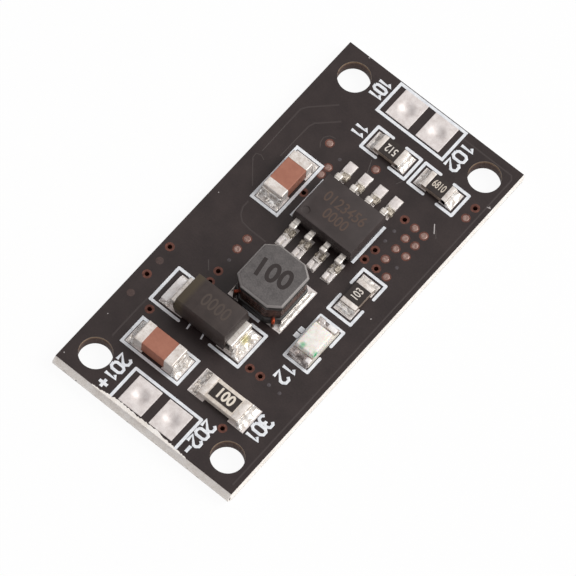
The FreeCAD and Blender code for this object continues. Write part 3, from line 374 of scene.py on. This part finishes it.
def plainCopy(source, name):
    # a copy whose flat faces are whole again
    piece = copyOf(source, name)
    bpy.ops.object.mode_set(mode="EDIT")
    bpy.ops.mesh.select_all(action="SELECT")
    bpy.ops.mesh.dissolve_limited(angle_limit=flatAngle)
    bpy.ops.object.mode_set(mode="OBJECT")
    return piece


def eased(piece, radius):
    # its sharp edges rounded, the radius in mm
    return modified(piece, "BEVEL", width=radius * mm, segments=3, limit_method="ANGLE",
                    angle_limit=cornerAngle)


def given(piece, slot, stands=(), finish=None, angle=35):
    # smooth shading, finish, and the nodes that the piece stands for
    only(piece)
    bpy.ops.object.shade_smooth_by_angle(angle=math.radians(angle))
    piece.data.materials.clear()
    piece.data.materials.append(finish or finishes[slot])
    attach(piece, "root")
    if stands:
        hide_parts(*stands)
    return piece


def block(name, low, high, radius):
    # a block with its edges rounded
    bpy.ops.object.select_all(action="DESELECT")
    bpy.ops.mesh.primitive_cube_add(size=1.0, location=[(a + b) / 2 for a, b in zip(low, high)])
    piece = bpy.context.object
    piece.name = name
    piece.scale = [b - a for a, b in zip(low, high)]
    settle(piece)
    return modified(piece, "BEVEL", width=radius, segments=3, limit_method="NONE")


# The larger resistor's body is cream alumina under clear glass
creamAlumina = mottled("cream_alumina", {
    "dark": "cbbfb2", "light": "eae2d8", "patch": 0.3, "grain": 0.05, "rough": (0.35, 0.55),
    "bump": 0.004, "ior": 1.6})

# Sharp moulded and pressed shapes get the small radius that real tools leave
softened = {
    "controller_body": (0.05, "chip_mould"),
    "diode_body": (0.06, "diode_mould"),
    "inductor_core": (0.05, "ferrite"),
    "inductor_terminals": (0.02, "lead_metal"),
    "lamp_base": (0.03, "lamp_base"),
    "program_resistor_substrate": (0.03, "alumina"),
    "supply_resistor_substrate": (0.03, "alumina"),
    "lamp_resistor_substrate": (0.03, "alumina"),
    "sense_resistor_substrate": (0.04, "alumina"),
}
coreTop = 3.714 * mm     # a hair lower, so that the printed mark stays inside the part's height
for source, (radius, slot) in softened.items():
    piece = eased(plainCopy(source, source + "_soft"), radius)
    if source == "inductor_core":
        for point in piece.data.vertices:
            point.co.z = min(point.co.z, coreTop)
    given(piece, slot, [source], angle=40, finish=creamAlumina if source.startswith("sense") else None)
print("moulded cases softened")

# The lamp's lens is rounded, and its end towards the mark runs out over the base, most at its foot
cast = {"end": 0.3, "foot": 0.05, "footOut": 0.12, "topOut": 0.06, "round": 0.09}     # mm
lens = plainCopy("lamp_lens", "lamp_lens_cast")
low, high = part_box("lamp_lens")
for point in lens.data.vertices:
    if point.co.y < low[1] + cast["end"] * mm:
        atFoot = point.co.z < low[2] + cast["foot"] * mm
        point.co.y = low[1] - (cast["footOut"] if atFoot else cast["topOut"]) * mm
given(eased(lens, cast["round"]), "lamp_lens", ["lamp_lens"], angle=60)

# Lumps of solder: the shapes are melted together and settle unevenly
ripple = bpy.data.textures.new("solder_ripple", "CLOUDS")
ripple.noise_scale = 0.5 * mm
ripple.noise_depth = 1


def melted(pieces, name, slot, stands, look):
    lump = joined(pieces, name)
    modified(lump, "REMESH", mode="VOXEL", voxel_size=look["voxel"] * mm)
    modified(lump, "SMOOTH", iterations=look["soft"], factor=0.5)
    modified(lump, "DISPLACE", texture=ripple, texture_coords="LOCAL", strength=look["lumpy"] * mm,
             mid_level=0.5)
    modified(lump, "SMOOTH", iterations=look.get("after", 6), factor=0.5)
    return given(lump, slot, stands, finish=look.get("finish"), angle=80)


# The tinned ends keep their shape with softer edges, and the solder climbs them in a fillet
endLooks = {
    "input_capacitor": {"ease": 0.0, "voxel": 0.035, "soft": 5, "lumpy": 0.28},
    "battery_capacitor": {"ease": 0.0, "voxel": 0.035, "soft": 5, "lumpy": 0.26},
    "program_resistor": {"ease": 0.05, "voxel": 0.03, "soft": 3, "lumpy": 0.18},
    "supply_resistor": {"ease": 0.05, "voxel": 0.03, "soft": 3, "lumpy": 0.18},
    "lamp_resistor": {"ease": 0.05, "voxel": 0.03, "soft": 3, "lumpy": 0.18},
    "sense_resistor": {"ease": 0.06, "voxel": 0.035, "soft": 4, "lumpy": 0.26},
}
for part, look in endLooks.items():
    if look["ease"]:
        caps = plainCopy(part + "_end_caps", part + "_ends")
        given(eased(caps, look["ease"]), "end_metal", [part + "_end_caps"], angle=40)
    fillet = copyOf(part + "_solder", part + "_fillet")
    melted([fillet], part + "_fillets", "solder", [part + "_solder"], look)
print("tinned ends and fillets made")

# Each gull wing stands in a flat pool of solder at its pad's outer end, with rough flux about its heel.
# A pool or heel has its Y span, the other blocks X from the leg's middle, Y and Z, all in mm.
rows = {
    "front": {"pool": (0.56, 1.5), "heel": (1.5, 2.0),
              "knee": [(-0.25, 0.25, 1.72, 2.12, 1.74, 2.02)],
              "flat": [(-0.33, -0.02, 0.62, 1.26, 1.1, 1.21), (0.08, 0.33, 0.6, 1.38, 1.1, 1.24)],
              "crust": [(0.02, 0.36, 1.45, 1.95, 1.07, 1.42), (-0.36, -0.12, 1.5, 1.8, 1.07, 1.3)]},
    "rear": {"pool": (7.3, 8.3), "heel": (6.8, 7.35),
             "knee": [(-0.26, 0.24, 6.4, 6.82, 1.74, 2.02)],
             "flat": [(-0.34, 0.34, 7.42, 8.26, 1.1, 1.22)],
             "crust": [(-0.12, 0.4, 6.85, 7.36, 1.07, 1.42)]},
    "legs": 4, "middle": 0.43, "pitch": 1.27, "sunk": 0.02,
    "wide": {"pool": 0.72, "heel": 0.62}, "thick": {"pool": 0.1, "heel": 0.16},
    "round": {"pool": 0.04, "heel": 0.04, "knee": 0.08, "flat": 0.035, "crust": 0.04},
    "poolLook": {"voxel": 0.03, "soft": 3, "lumpy": 0.07, "after": 2},
    "legLook": {"voxel": 0.028, "soft": 3, "lumpy": 0.03, "after": 1},
    "fluxLook": {"voxel": 0.03, "soft": 1, "lumpy": 0.2, "after": 1, "finish": mottled("baked_flux", {
        "dark": "4d3d2a", "light": "efe6d6", "patch": 0.14, "grain": 0.05, "rough": (0.25, 0.45),
        "bump": 0.01, "metallic": 0.35, "swell": 0.8})},
}
legMiddles = [(rows["middle"] + rows["pitch"] * (number - (rows["legs"] - 1) / 2)) * mm
              for number in range(rows["legs"])]
for row in ("front", "rear"):
    joints = [copyOf("controller_solder_" + row, "joints_" + row)]
    for x in legMiddles:
        for part in ("pool", "heel"):
            near, far = (v * mm for v in rows[row][part])
            reach = rows["wide"][part] / 2 * mm
            joints.append(block(part, (x - reach, near, boardTop - rows["sunk"] * mm),
                                (x + reach, far, boardTop + rows["thick"][part] * mm),
                                rows["round"][part] * mm))
    melted(joints, "controller_joints_" + row, "solder", ["controller_solder_" + row], rows["poolLook"])
    legs = [copyOf("controller_leads_" + row, "legs_" + row)]
    flats, crusts = [], []
    for x in legMiddles:
        for kept, part in ((legs, "knee"), (flats, "flat"), (crusts, "crust")):
            for left, right, near, far, foot, top in rows[row][part]:
                kept.append(block(part, (x + left * mm, near * mm, foot * mm),
                                  (x + right * mm, far * mm, top * mm), rows["round"][part] * mm))
    melted(legs, "controller_legs_" + row, "lead_metal", ["controller_leads_" + row], rows["legLook"])
    given(joined(flats, "controller_pool_tops_" + row), "solder", finish=finishes["tin"], angle=50)
    melted(crusts, "controller_flux_" + row, "solder", (), rows["fluxLook"])

# The larger joints: a yellow-green reflection painted on the diode's, brown flux stains on the lamp's
stainedTin = mottled("flux_stained_tin", {
    "dark": "705c54", "light": "f6f1ee", "patch": 0.42, "grain": 0.08, "rough": (0.2, 0.4), "bump": 0.006,
    "metallic": 0.55, "swell": 0.6})
# the diode's solder, with a yellow-green reflection painted as a soft spot at its lead
diodeTin = mottled("flux_tinted_solder", {
    "dark": "d2c7bc", "light": "fffefc", "patch": 0.35, "grain": 0.08, "rough": (0.16, 0.34),
    "bump": 0.0025, "metallic": 0.5, "swell": 0.8, "stainAndReflection": ("e9e0a4", [(1.3, -6.17, 1.5)], (0.1, 0.5))})
for part, look in {
    "diode_solder": {"voxel": 0.035, "soft": 6, "lumpy": 0.26, "finish": diodeTin},
    "inductor_solder": {"voxel": 0.034, "soft": 2, "lumpy": 0.06},
    "lamp_solder": {"voxel": 0.03, "soft": 3, "lumpy": 0.2, "with": ["lamp_terminals"],
                    "finish": stainedTin},
}.items():
    sources = [part] + look.get("with", [])
    copies = [copyOf(source, source + "_melt") for source in sources]
    melted(copies, part + "_lumps", "solder", sources, look)

# Low pools on the diode's outer pad and at the lamp's corners, in a nearly white tin that paints light on
# them, most of all in the diode body's shade: two corners in mm
paintedLightTin = mottled("tin_painted_light", {
    "dark": "ece5e3", "light": "ffffff", "patch": 0.4, "grain": 0.07, "rough": (0.45, 0.6), "bump": 0.004,
    "metallic": 0.2})
thinPools = {
    "diode_pad_pool": [(-4.83, -7.36, 1.08), (-3.66, -5.36, 1.36)],
    "lamp_front_wedge": [(5.08, -4.86, 1.1), (5.45, -4.5, 1.72)],
    "lamp_rear_wedge": [(4.7, -2.14, 1.1), (5.4, -1.8, 1.76)],
}
poolRound = 0.05 * mm
for name, (low, high) in thinPools.items():
    pool = block(name, [v * mm for v in low], [v * mm for v in high], poolRound)
    given(pool, "solder", finish=paintedLightTin, angle=50)
print("solder joints made")

# The four terminal pads are tinned over, with a broad shallow dish where each hole was filled
terminals = {
    "nodes": ("battery_plus_terminal_tin", "battery_minus_terminal_tin",
              "input_plus_terminal_tin", "input_minus_terminal_tin"),
    "reach": 0.76, "bore": 0.44, "sink": 0.15, "fall": 1.15, "cuts": 44, "ease": 0.02,
    "bed": 0.01,         # how far the tin reaches below the lacquer's upper face
    "plug": 0.25,        # how far its underside reaches down the filled hole
}
for source in terminals["nodes"]:
    low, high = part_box(source)
    centre = ((low[0] + high[0]) / 2, (low[1] + high[1]) / 2)
    pad = block(source + "_face", (low[0], low[1], boardTop - terminals["bed"] * mm), high,
                terminals["ease"] * mm)
    only(pad)
    bpy.ops.object.mode_set(mode="EDIT")
    bpy.ops.mesh.select_all(action="DESELECT")
    bpy.ops.object.mode_set(mode="OBJECT")
    for face in pad.data.polygons:          # its top and its underside
        face.select = abs(face.normal.z) > 0.99
    bpy.ops.object.mode_set(mode="EDIT")
    bpy.ops.mesh.subdivide(number_cuts=terminals["cuts"])
    bpy.ops.object.mode_set(mode="OBJECT")
    for point in pad.data.vertices:
        away = (point.co.to_2d() - Vector(centre)).length / (terminals["reach"] * mm)
        if point.co.z < boardTop and away < terminals["bore"] / terminals["reach"]:
            point.co.z -= terminals["plug"] * mm
        elif point.co.z > high[2] - hair and away < 1:
            dip = (0.5 + 0.5 * math.cos(math.pi * away)) ** terminals["fall"]
            point.co.z -= terminals["sink"] * mm * dip
    given(pad, "tin", [source], angle=60)
print("terminal pads dished")

# Solder pushed up the plugged holes stands in low crowns, and the covered holes show as faint dots
viaLooks = {             # each step goes inwards and up
    "plugged": {"source": "via_solder_plugs", "radius": 0.225, "slot": "solder",
                "steps": [(0.03, 0.01), (0.05, 0.008), (0.05, 0.002), (0.03, -0.006)]},
    "covered": {"source": "tented_via_barrels", "radius": 0.13, "slot": "solder_mask",
                "steps": [(0.03, 0.006), (0.04, 0.002)]},
}
crownFoot = 1.066 * mm
crownWall = 0.004 * mm
viaApart = 0.45 * mm     # points nearer than this belong to one via
wideRings = {"beyond": -6, "scale": 2.1}


def centresOf(source, reach):
    # middles of a node's separate rings or plugs
    groups = []
    for point in nodes[source].data.vertices:
        for group in groups:
            if (group[0].co - point.co).to_2d().length < reach:
                group.append(point)
                break
        else:
            groups.append([point])
    return [tuple((min(p.co[axis] for p in group) + max(p.co[axis] for p in group)) / 2 for axis in (0, 1))
            for group in groups]


crownTin = mottled("flux_varnished_solder", {
    "dark": "80625a", "light": "b3988f", "patch": 0.2, "grain": 0.06, "rough": (0.25, 0.4), "bump": 0.006,
    "metallic": 0.4})
coveredDot = mottled("thin_lacquer_dot", {
    "dark": "3a3334", "light": "575155", "patch": 0.15, "grain": 0.05, "rough": (0.3, 0.45),
    "bump": 0.002, "ior": 1.5})
for name, look in viaLooks.items():
    bpy.ops.object.select_all(action="DESELECT")
    bpy.ops.mesh.primitive_circle_add(vertices=20, radius=look["radius"] * mm, fill_type="NGON")
    crown = bpy.context.object
    bpy.ops.object.mode_set(mode="EDIT")
    bpy.ops.mesh.select_all(action="SELECT")
    bpy.ops.mesh.extrude_region_move(TRANSFORM_OT_translate={"value": (0, 0, crownWall)})
    for inward, up in look["steps"]:
        bpy.ops.mesh.inset(thickness=inward * mm, depth=up * mm)
    bpy.ops.mesh.select_all(action="SELECT")
    bpy.ops.mesh.normals_make_consistent(inside=False)
    bpy.ops.object.mode_set(mode="OBJECT")
    copies = []
    for x, y in centresOf(look["source"], viaApart):
        one = bpy.data.objects.new(name, crown.data.copy())
        bpy.context.scene.collection.objects.link(one)
        one.location = (x, y, crownFoot)
        copies.append(one)
    bpy.data.objects.remove(crown)
    if name == "covered":       # at the left edge the lacquer lies over the whole ring, and looks brownish
        wide = [one for one in copies if one.location.x < wideRings["beyond"] * mm]
        copies = [one for one in copies if one not in wide]
        for one in wide:
            one.scale = (wideRings["scale"], wideRings["scale"], 1.0)
        wide = joined(wide, "covered_via_rings")
        settle(wide)
        given(wide, "solder_mask", finish=mottled("lacquer_over_copper", {
            "dark": "3d2d2a", "light": "52403c", "patch": 0.15, "grain": 0.05, "rough": (0.3, 0.45),
            "bump": 0.002, "ior": 1.5}), angle=70)
    piece = joined(copies, name + "_via_crowns")
    settle(piece)
    given(piece, look["slot"], ["via_solder_plugs"] if name == "plugged" else (),
          finish=crownTin if name == "plugged" else coveredDot, angle=70)
print("vias capped")

# The front edge was scored and snapped: ragged fibres stand along it, inside the board's own box
snapped = {"from": -14.8, "voxel": 0.055, "ragged": 0.1, "side": 7.35, "front": -15.15, "z": (0.02, 1.055)}
strip = copyOf("board_laminate", "snapped_front_edge")
bpy.ops.object.mode_set(mode="EDIT")
bpy.ops.mesh.select_all(action="SELECT")
bpy.ops.mesh.bisect(plane_co=(0, snapped["from"] * mm, 0), plane_no=(0, 1, 0), clear_outer=True,
                    use_fill=True)
bpy.ops.object.mode_set(mode="OBJECT")
fibre = bpy.data.textures.new("fibre_ends", "CLOUDS")
fibre.noise_scale = 0.22 * mm
fibre.noise_depth = 3
modified(strip, "REMESH", mode="VOXEL", voxel_size=snapped["voxel"] * mm)
modified(strip, "DISPLACE", texture=fibre, texture_coords="LOCAL", strength=snapped["ragged"] * mm,
         mid_level=0.35, direction="Y")
for point in strip.data.vertices:
    point.co.x = max(-snapped["side"] * mm, min(snapped["side"] * mm, point.co.x))
    point.co.y = max(snapped["front"] * mm, point.co.y)
    point.co.z = max(snapped["z"][0] * mm, min(snapped["z"][1] * mm, point.co.z))
given(strip, "laminate", angle=60)

# Where the snap tore the lacquer away before the battery pads, ragged laminate shows
torn = {
    "start": -4.3, "end": 3.6, "step": 0.07,     # mm along X
    "outer": -14.9, "lacquer": -14.85,           # Y of the strip's outer side and of the lacquer's edge
    "level": 1.06, "thick": 0.034, "deep": 0.25, "least": 0.01, "ragged": 0.09,
    "slopes": (4, 3),                            # how fast it deepens from either end
    "sway": (0.1, 2.3),                          # share of the depth, radians in a mm
    "tufts": ((6, 0.3, 1.0), (17, 3.1, 0.6)),    # how fine, row of the noise, weight
}
count = int((torn["end"] - torn["start"]) / torn["step"])
outer, inner = [], []
for number in range(count + 1):
    share = number / count
    x = torn["start"] + number * torn["step"]
    depth = torn["deep"] * min(1, torn["slopes"][0] * share, torn["slopes"][1] * (1 - share))
    depth *= 1 - torn["sway"][0] + torn["sway"][0] * math.sin(torn["sway"][1] * x)
    depth += torn["ragged"] * sum(weight * noise.noise(Vector((x * fine, row, 0)))
                                  for fine, row, weight in torn["tufts"])
    outer.append((x * mm, torn["outer"] * mm))
    inner.append((x * mm, (torn["lacquer"] + max(torn["least"], depth)) * mm))
mesh = bpy.data.meshes.new("torn_lacquer")
mesh.from_pydata([(x, y, torn["level"] * mm) for x, y in outer + inner], [],
                 [(i, i + 1, i + count + 2, i + count + 1) for i in range(count)])
patch = bpy.data.objects.new("torn_lacquer", mesh)
bpy.context.scene.collection.objects.link(patch)
modified(patch, "SOLIDIFY", thickness=torn["thick"] * mm, offset=1.0)
given(patch, "laminate", angle=60)
print("snapped edge made")

# Legend lines: the ink spreads a little, within the board
printed = {"spread": 0.015, "front": -14.85, "rear": 15.05}       # mm
legend = plainCopy("legend_outlines", "legend_lines")
bpy.ops.object.mode_set(mode="EDIT")
bpy.ops.mesh.select_all(action="SELECT")
bpy.ops.transform.shrink_fatten(value=printed["spread"] * mm, use_even_offset=True)
bpy.ops.object.mode_set(mode="OBJECT")
for point in legend.data.vertices:
    point.co.z = inkTop if point.co.z > (boardTop + inkTop) / 2 else boardTop
    point.co.y = max(printed["front"] * mm, min(printed["rear"] * mm, point.co.y))
given(legend, "legend_ink", ["legend_outlines"])
print("legend lines spread")

# White lettering beside the parts: plain numbers, drawn with one round pen along each stroke
glyphs = {
    "0": [[(0.15, 0), (0, 0.2), (0, 0.8), (0.15, 1), (0.45, 1), (0.6, 0.8), (0.6, 0.2), (0.45, 0),
           (0.15, 0)]],
    "1": [[(0.1, 0.75), (0.35, 1), (0.35, 0)]],
    "2": [[(0, 0.8), (0.15, 1), (0.45, 1), (0.6, 0.8), (0.6, 0.6), (0, 0), (0.6, 0)]],
    "3": [[(0, 0.85), (0.15, 1), (0.45, 1), (0.6, 0.8), (0.6, 0.65), (0.45, 0.52), (0.25, 0.52)],
          [(0.45, 0.52), (0.6, 0.38), (0.6, 0.2), (0.45, 0), (0.15, 0), (0, 0.15)]],
    "+": [[(0, 0.5), (0.7, 0.5)], [(0.35, 0.1), (0.35, 0.9)]],
    "-": [[(0, 0.5), (0.6, 0.5)]],
}
lettering = {
    "pen": 0.22, "tickPen": 0.12, "thick": 0.024, "lift": 0.006,     # mm
    "margin": 0.12, "wide": 1.27,        # shares of a letter's advance: before it, and per glyph unit
    "ticks": [[(-2.2, -7.9), (-2.26, -7.4)], [(-1.05, -7.86), (-1.16, -7.4)]],
    "words": [           # text, X at the letters' foot and head, Y where the first begins and the last ends
        ("101", -4.12, -3.22, 14.45, 12.85),
        ("102", 2.94, 3.82, 14.45, 12.1),
        ("11", -3.24, -2.36, 10.95, 9.95),
        ("12", 4.15, 5.07, -5.4, -6.85),
        ("301", 5.34, 6.28, -9.2, -11.25),
        ("201+", -4.22, -3.38, -11.85, -14.6),
        ("202-", 2.84, 3.68, -11.85, -14.6),
    ],
}


def penned(name, paths, width, height, level):
    # strokes of a round pen lying flat on the board
    curve = bpy.data.curves.new(name, "CURVE")
    curve.dimensions = "3D"
    curve.bevel_depth = width / 2
    curve.bevel_resolution = 2
    curve.use_fill_caps = True
    for path in paths:
        spline = curve.splines.new("POLY")
        spline.points.add(len(path) - 1)
        for point, (x, y) in zip(spline.points, path):
            point.co = (x, y, 0, 1)
    piece = bpy.data.objects.new(name, curve)
    bpy.context.scene.collection.objects.link(piece)
    only(piece)
    bpy.ops.object.convert(target="MESH")
    piece = bpy.context.object
    piece.scale = (1, 1, height / width)
    piece.location = (0, 0, level)
    settle(piece)
    return piece


paths = []
for text, foot, head, start, end in lettering["words"]:
    advance = (start - end) / len(text)
    for place, letter in enumerate(text):
        for stroke in glyphs[letter]:
            paths.append([((foot + v * (head - foot)) * mm,
                           (start - (place + lettering["margin"] + u * lettering["wide"]) * advance) * mm)
                          for u, v in stroke])
ticks = [[(x * mm, y * mm) for x, y in tick] for tick in lettering["ticks"]]
for name, lines, pen in (("ticks", ticks, "tickPen"), ("numbers", paths, "pen")):
    given(penned("legend_" + name, lines, lettering[pen] * mm, lettering["thick"] * mm,
                 boardTop + lettering["lift"] * mm), "legend_ink")
print("white numbers drawn")

# Faint ridges in the lacquer over the edges of the copper, and what dust and scratches show
ridges = {               # width in mm, colour, lines
    "wide": (0.12, "3b3231", [
        [(6.98, -14.3), (6.98, 14.2), (6.75, 14.45), (2.7, 14.45)],
        [(-4.98, 11.0), (-6.45, 9.5), (-6.7, 9.1), (-6.7, 7.6)],
        [(-5.52, -11.4), (-5.53, -8.75), (-5.5, -7.85)],
        [(-4.1, 10.15), (-5.35, 8.9), (-5.5, 8.5), (-5.52, 7.6)],
        [(-5.03, 1.7), (-5.03, 1.15), (-4.8, 0.65), (-4.37, 0.3), (-3.65, 0.2), (-2.3, 0.2)],
    ]),
    "fine": (0.06, "423a38", [
        [(-6.7, 7.6), (-6.66, 5.1)], [(-5.52, 7.6), (-5.54, 5.58)],
        [(-6.15, 4.65), (-6.5, 4.82), (-6.85, 4.7), (-6.8, 4.3), (-6.6, 4.05), (-5.52, 2.72)],
        [(-3.95, 7.75), (-4.2, 8.1), (-4.25, 8.5), (-4.0, 8.85), (-3.6, 8.95)],
        [(5.5, 8.15), (5.9, 7.65)], [(-0.85, 9.3), (-0.4, 8.2)], [(1.75, 9.7), (1.45, 9.0)],
        [(-4.3, -3.2), (-3.8, -3.8)],
    ]),
    "dust": (0.07, "b3adac", [
        [(5.17, 8.43), (5.6, 7.85)], [(6.3, 0.42), (6.36, 0.5)], [(6.98, 11.62), (7.25, 11.7)],
        [(-5.73, 14.98), (-5.62, 14.96)], [(7.1, 11.76), (7.16, 11.7)], [(-7.1, -14.3), (-7.05, -14.36)],
        [(-6.75, -10.4), (-6.7, -10.42)], [(-3.2, 3.5), (-3.12, 3.52)], [(-6.9, 0.9), (-6.85, 0.93)],
    ]),
}
ridgeThick = 0.009 * mm
for name, (width, colour, lines) in ridges.items():
    ridge = penned("lacquer_" + name, [[(x * mm, y * mm) for x, y in line] for line in lines],
                   width * mm, ridgeThick, boardTop)
    shade = mottled("lacquer_" + name + "_lines", {
        "dark": colour, "light": colour, "patch": 0.6, "grain": 0.08, "rough": (0.3, 0.45), "bump": 0.001,
        "ior": 1.5})
    given(ridge, "solder_mask", finish=shade, angle=60)
print("ridges drawn")

# Marks printed or burnt on the parts: plain numbers, lengths in mm and turns in degrees
marks = {
    "program_mark": {"text": "512", "place": (-0.2, 10.535), "turn": 180, "tall": 0.56, "narrow": 0.74,
                     "level": 1.53, "bold": 0.012, "ink": "e2dcd4"},
    "supply_mark": {"text": "6810", "place": (3.8, 10.535), "turn": 0, "tall": 0.56, "narrow": 0.6,
                    "level": 1.53, "bold": 0.01, "ink": "d2c8ba"},
    "lamp_resistor_mark": {"text": "103", "place": (4.67, 1.055), "turn": 90, "tall": 0.56, "narrow": 0.74,
                           "level": 1.53, "bold": 0.012, "ink": "ddd6cd"},
    "sense_mark": {"text": "100", "place": (2.88, -10.15), "turn": 0, "tall": 0.74, "narrow": 0.86,
                   "level": 1.63, "bold": 0.035, "ink": "e6ddcf"},
    "inductor_mark": {"text": "100", "place": (0.15, -2.3), "turn": 9, "tall": 1.35, "narrow": 0.95,
                      "level": 3.72, "bold": 0.055, "ink": "2b2322", "thick": 0.004},
    "controller_mark_a": {"text": "0123456", "place": (0.5, 4.75), "turn": 0, "tall": 0.78, "narrow": 0.85,
                          "level": 2.64, "bold": 0.012, "ink": "54433a"},
    "controller_mark_b": {"text": "0000", "place": (0.5, 3.75), "turn": 0, "tall": 0.78, "narrow": 0.85,
                          "level": 2.64, "bold": 0.012, "ink": "54433a"},
    "diode_mark": {"text": "0000", "place": (-1.2, -6.35), "turn": 0, "tall": 0.95, "narrow": 0.8,
                   "level": 3.27, "bold": 0.015, "ink": "4b403a"},
}
markSunk = 0.004
markThick = 0.008
figureShare = 0.7        # of the font's size is a figure's height
for name, mark in marks.items():
    bpy.ops.object.select_all(action="DESELECT")
    bpy.ops.object.text_add(location=(0, 0, 0))
    piece = bpy.context.object
    piece.data.body = mark["text"]
    piece.data.size = mark["tall"] / figureShare * mm
    piece.data.align_x = piece.data.align_y = "CENTER"
    piece.data.offset = mark["bold"] * mm
    bpy.ops.object.convert(target="MESH")
    piece = bpy.context.object
    piece.name = piece.data.name = name
    piece.scale = (mark["narrow"], 1, 1)
    piece.rotation_euler = (0, 0, math.radians(mark["turn"]))
    piece.location = (mark["place"][0] * mm, mark["place"][1] * mm, (mark["level"] - markSunk) * mm)
    settle(piece)
    modified(piece, "SOLIDIFY", thickness=mark.get("thick", markThick) * mm, offset=1.0)
    ink = mottled(name + "_ink", {
        "dark": mark["ink"], "light": mark["ink"], "patch": 0.2, "grain": 0.05, "rough": (0.5, 0.7),
        "bump": 0.001})
    given(piece, "legend_ink", finish=ink)
print("marks printed")

# The floor is white paper, which the camera sees nearly without shadows, as in the photograph
floorLook = {"size": 4.0, "under": 0.02, "paper": "f8f8f8", "lift": 0.94}
bpy.ops.object.select_all(action="DESELECT")
bpy.ops.mesh.primitive_plane_add(size=floorLook["size"], location=(0, 0, -floorLook["under"] * mm))
floor = bpy.context.object
floor.name = "floor"
material, tree = newMaterial("white_paper")
rays = addNode(tree, "ShaderNodeLightPath")
seen = addNode(tree, "ShaderNodeMath", {
    0: rays.outputs["Is Camera Ray"], 1: rays.outputs["Is Glossy Ray"]}, operation="MAXIMUM")
seenOrThrough = addNode(tree, "ShaderNodeMath", {
    0: seen.outputs[0], 1: rays.outputs["Is Transmission Ray"]}, operation="MAXIMUM")
paper = addNode(tree, "ShaderNodeBsdfDiffuse", {"Color": linear(floorLook["paper"])})
white = addNode(tree, "ShaderNodeEmission", {"Color": (1, 1, 1, 1), "Strength": 1.0})
lifted = addNode(tree, "ShaderNodeMath", {0: seenOrThrough.outputs[0], 1: floorLook["lift"]},
                 operation="MULTIPLY")
both = addNode(tree, "ShaderNodeMixShader", {
    0: lifted.outputs[0], 1: paper.outputs[0], 2: white.outputs[0]})
addNode(tree, "ShaderNodeOutputMaterial", {"Surface": both.outputs[0]})
floor.data.materials.append(material)

# The studio is bright at the rear right and dim at the front left, with a weak fill before the board
studio = {
    "axis": (0.5, 0.55, 0.67), "strength": 0.93,
    "stops": [(0.0, "4a4648"), (0.45, "5c585b"), (0.6, "837f82"), (0.76, "cdc9c9"), (0.9, "f6f2ef"),
              (1.0, "fffdf8")],
}
world = bpy.data.worlds.new("studio")
bpy.context.scene.world = world
world.use_nodes = True
tree = world.node_tree
tree.nodes.clear()
heading = addNode(tree, "ShaderNodeTexCoord").outputs["Generated"]
facing = addNode(tree, "ShaderNodeVectorMath", {0: heading, 1: studio["axis"]}, operation="DOT_PRODUCT")
spread = addNode(tree, "ShaderNodeMapRange", {
    "Value": facing.outputs["Value"], "From Min": -1.0, "From Max": 1.0})
sky = addNode(tree, "ShaderNodeValToRGB", {"Fac": spread.outputs["Result"]}, stops=studio["stops"])
glow = addNode(tree, "ShaderNodeBackground", {
    "Color": sky.outputs["Color"], "Strength": studio["strength"]})
addNode(tree, "ShaderNodeOutputWorld", {"Surface": glow.outputs[0]})

lamps = {
    "key": {"from": (0.45, 0.45, 0.55), "size": 0.5, "power": 4.3},
    "fill": {"from": (-0.15, -0.5, 0.2), "size": 0.4, "power": 0.6},
}
for name, lamp in lamps.items():
    light = bpy.data.objects.new(name, bpy.data.lights.new(name, "AREA"))
    bpy.context.scene.collection.objects.link(light)
    light.location = lamp["from"]
    light.rotation_euler = (-Vector(lamp["from"])).to_track_quat("-Z", "Y").to_euler()
    light.data.size = lamp["size"]
    light.data.energy = lamp["power"]
print("floor, world and lamps set")
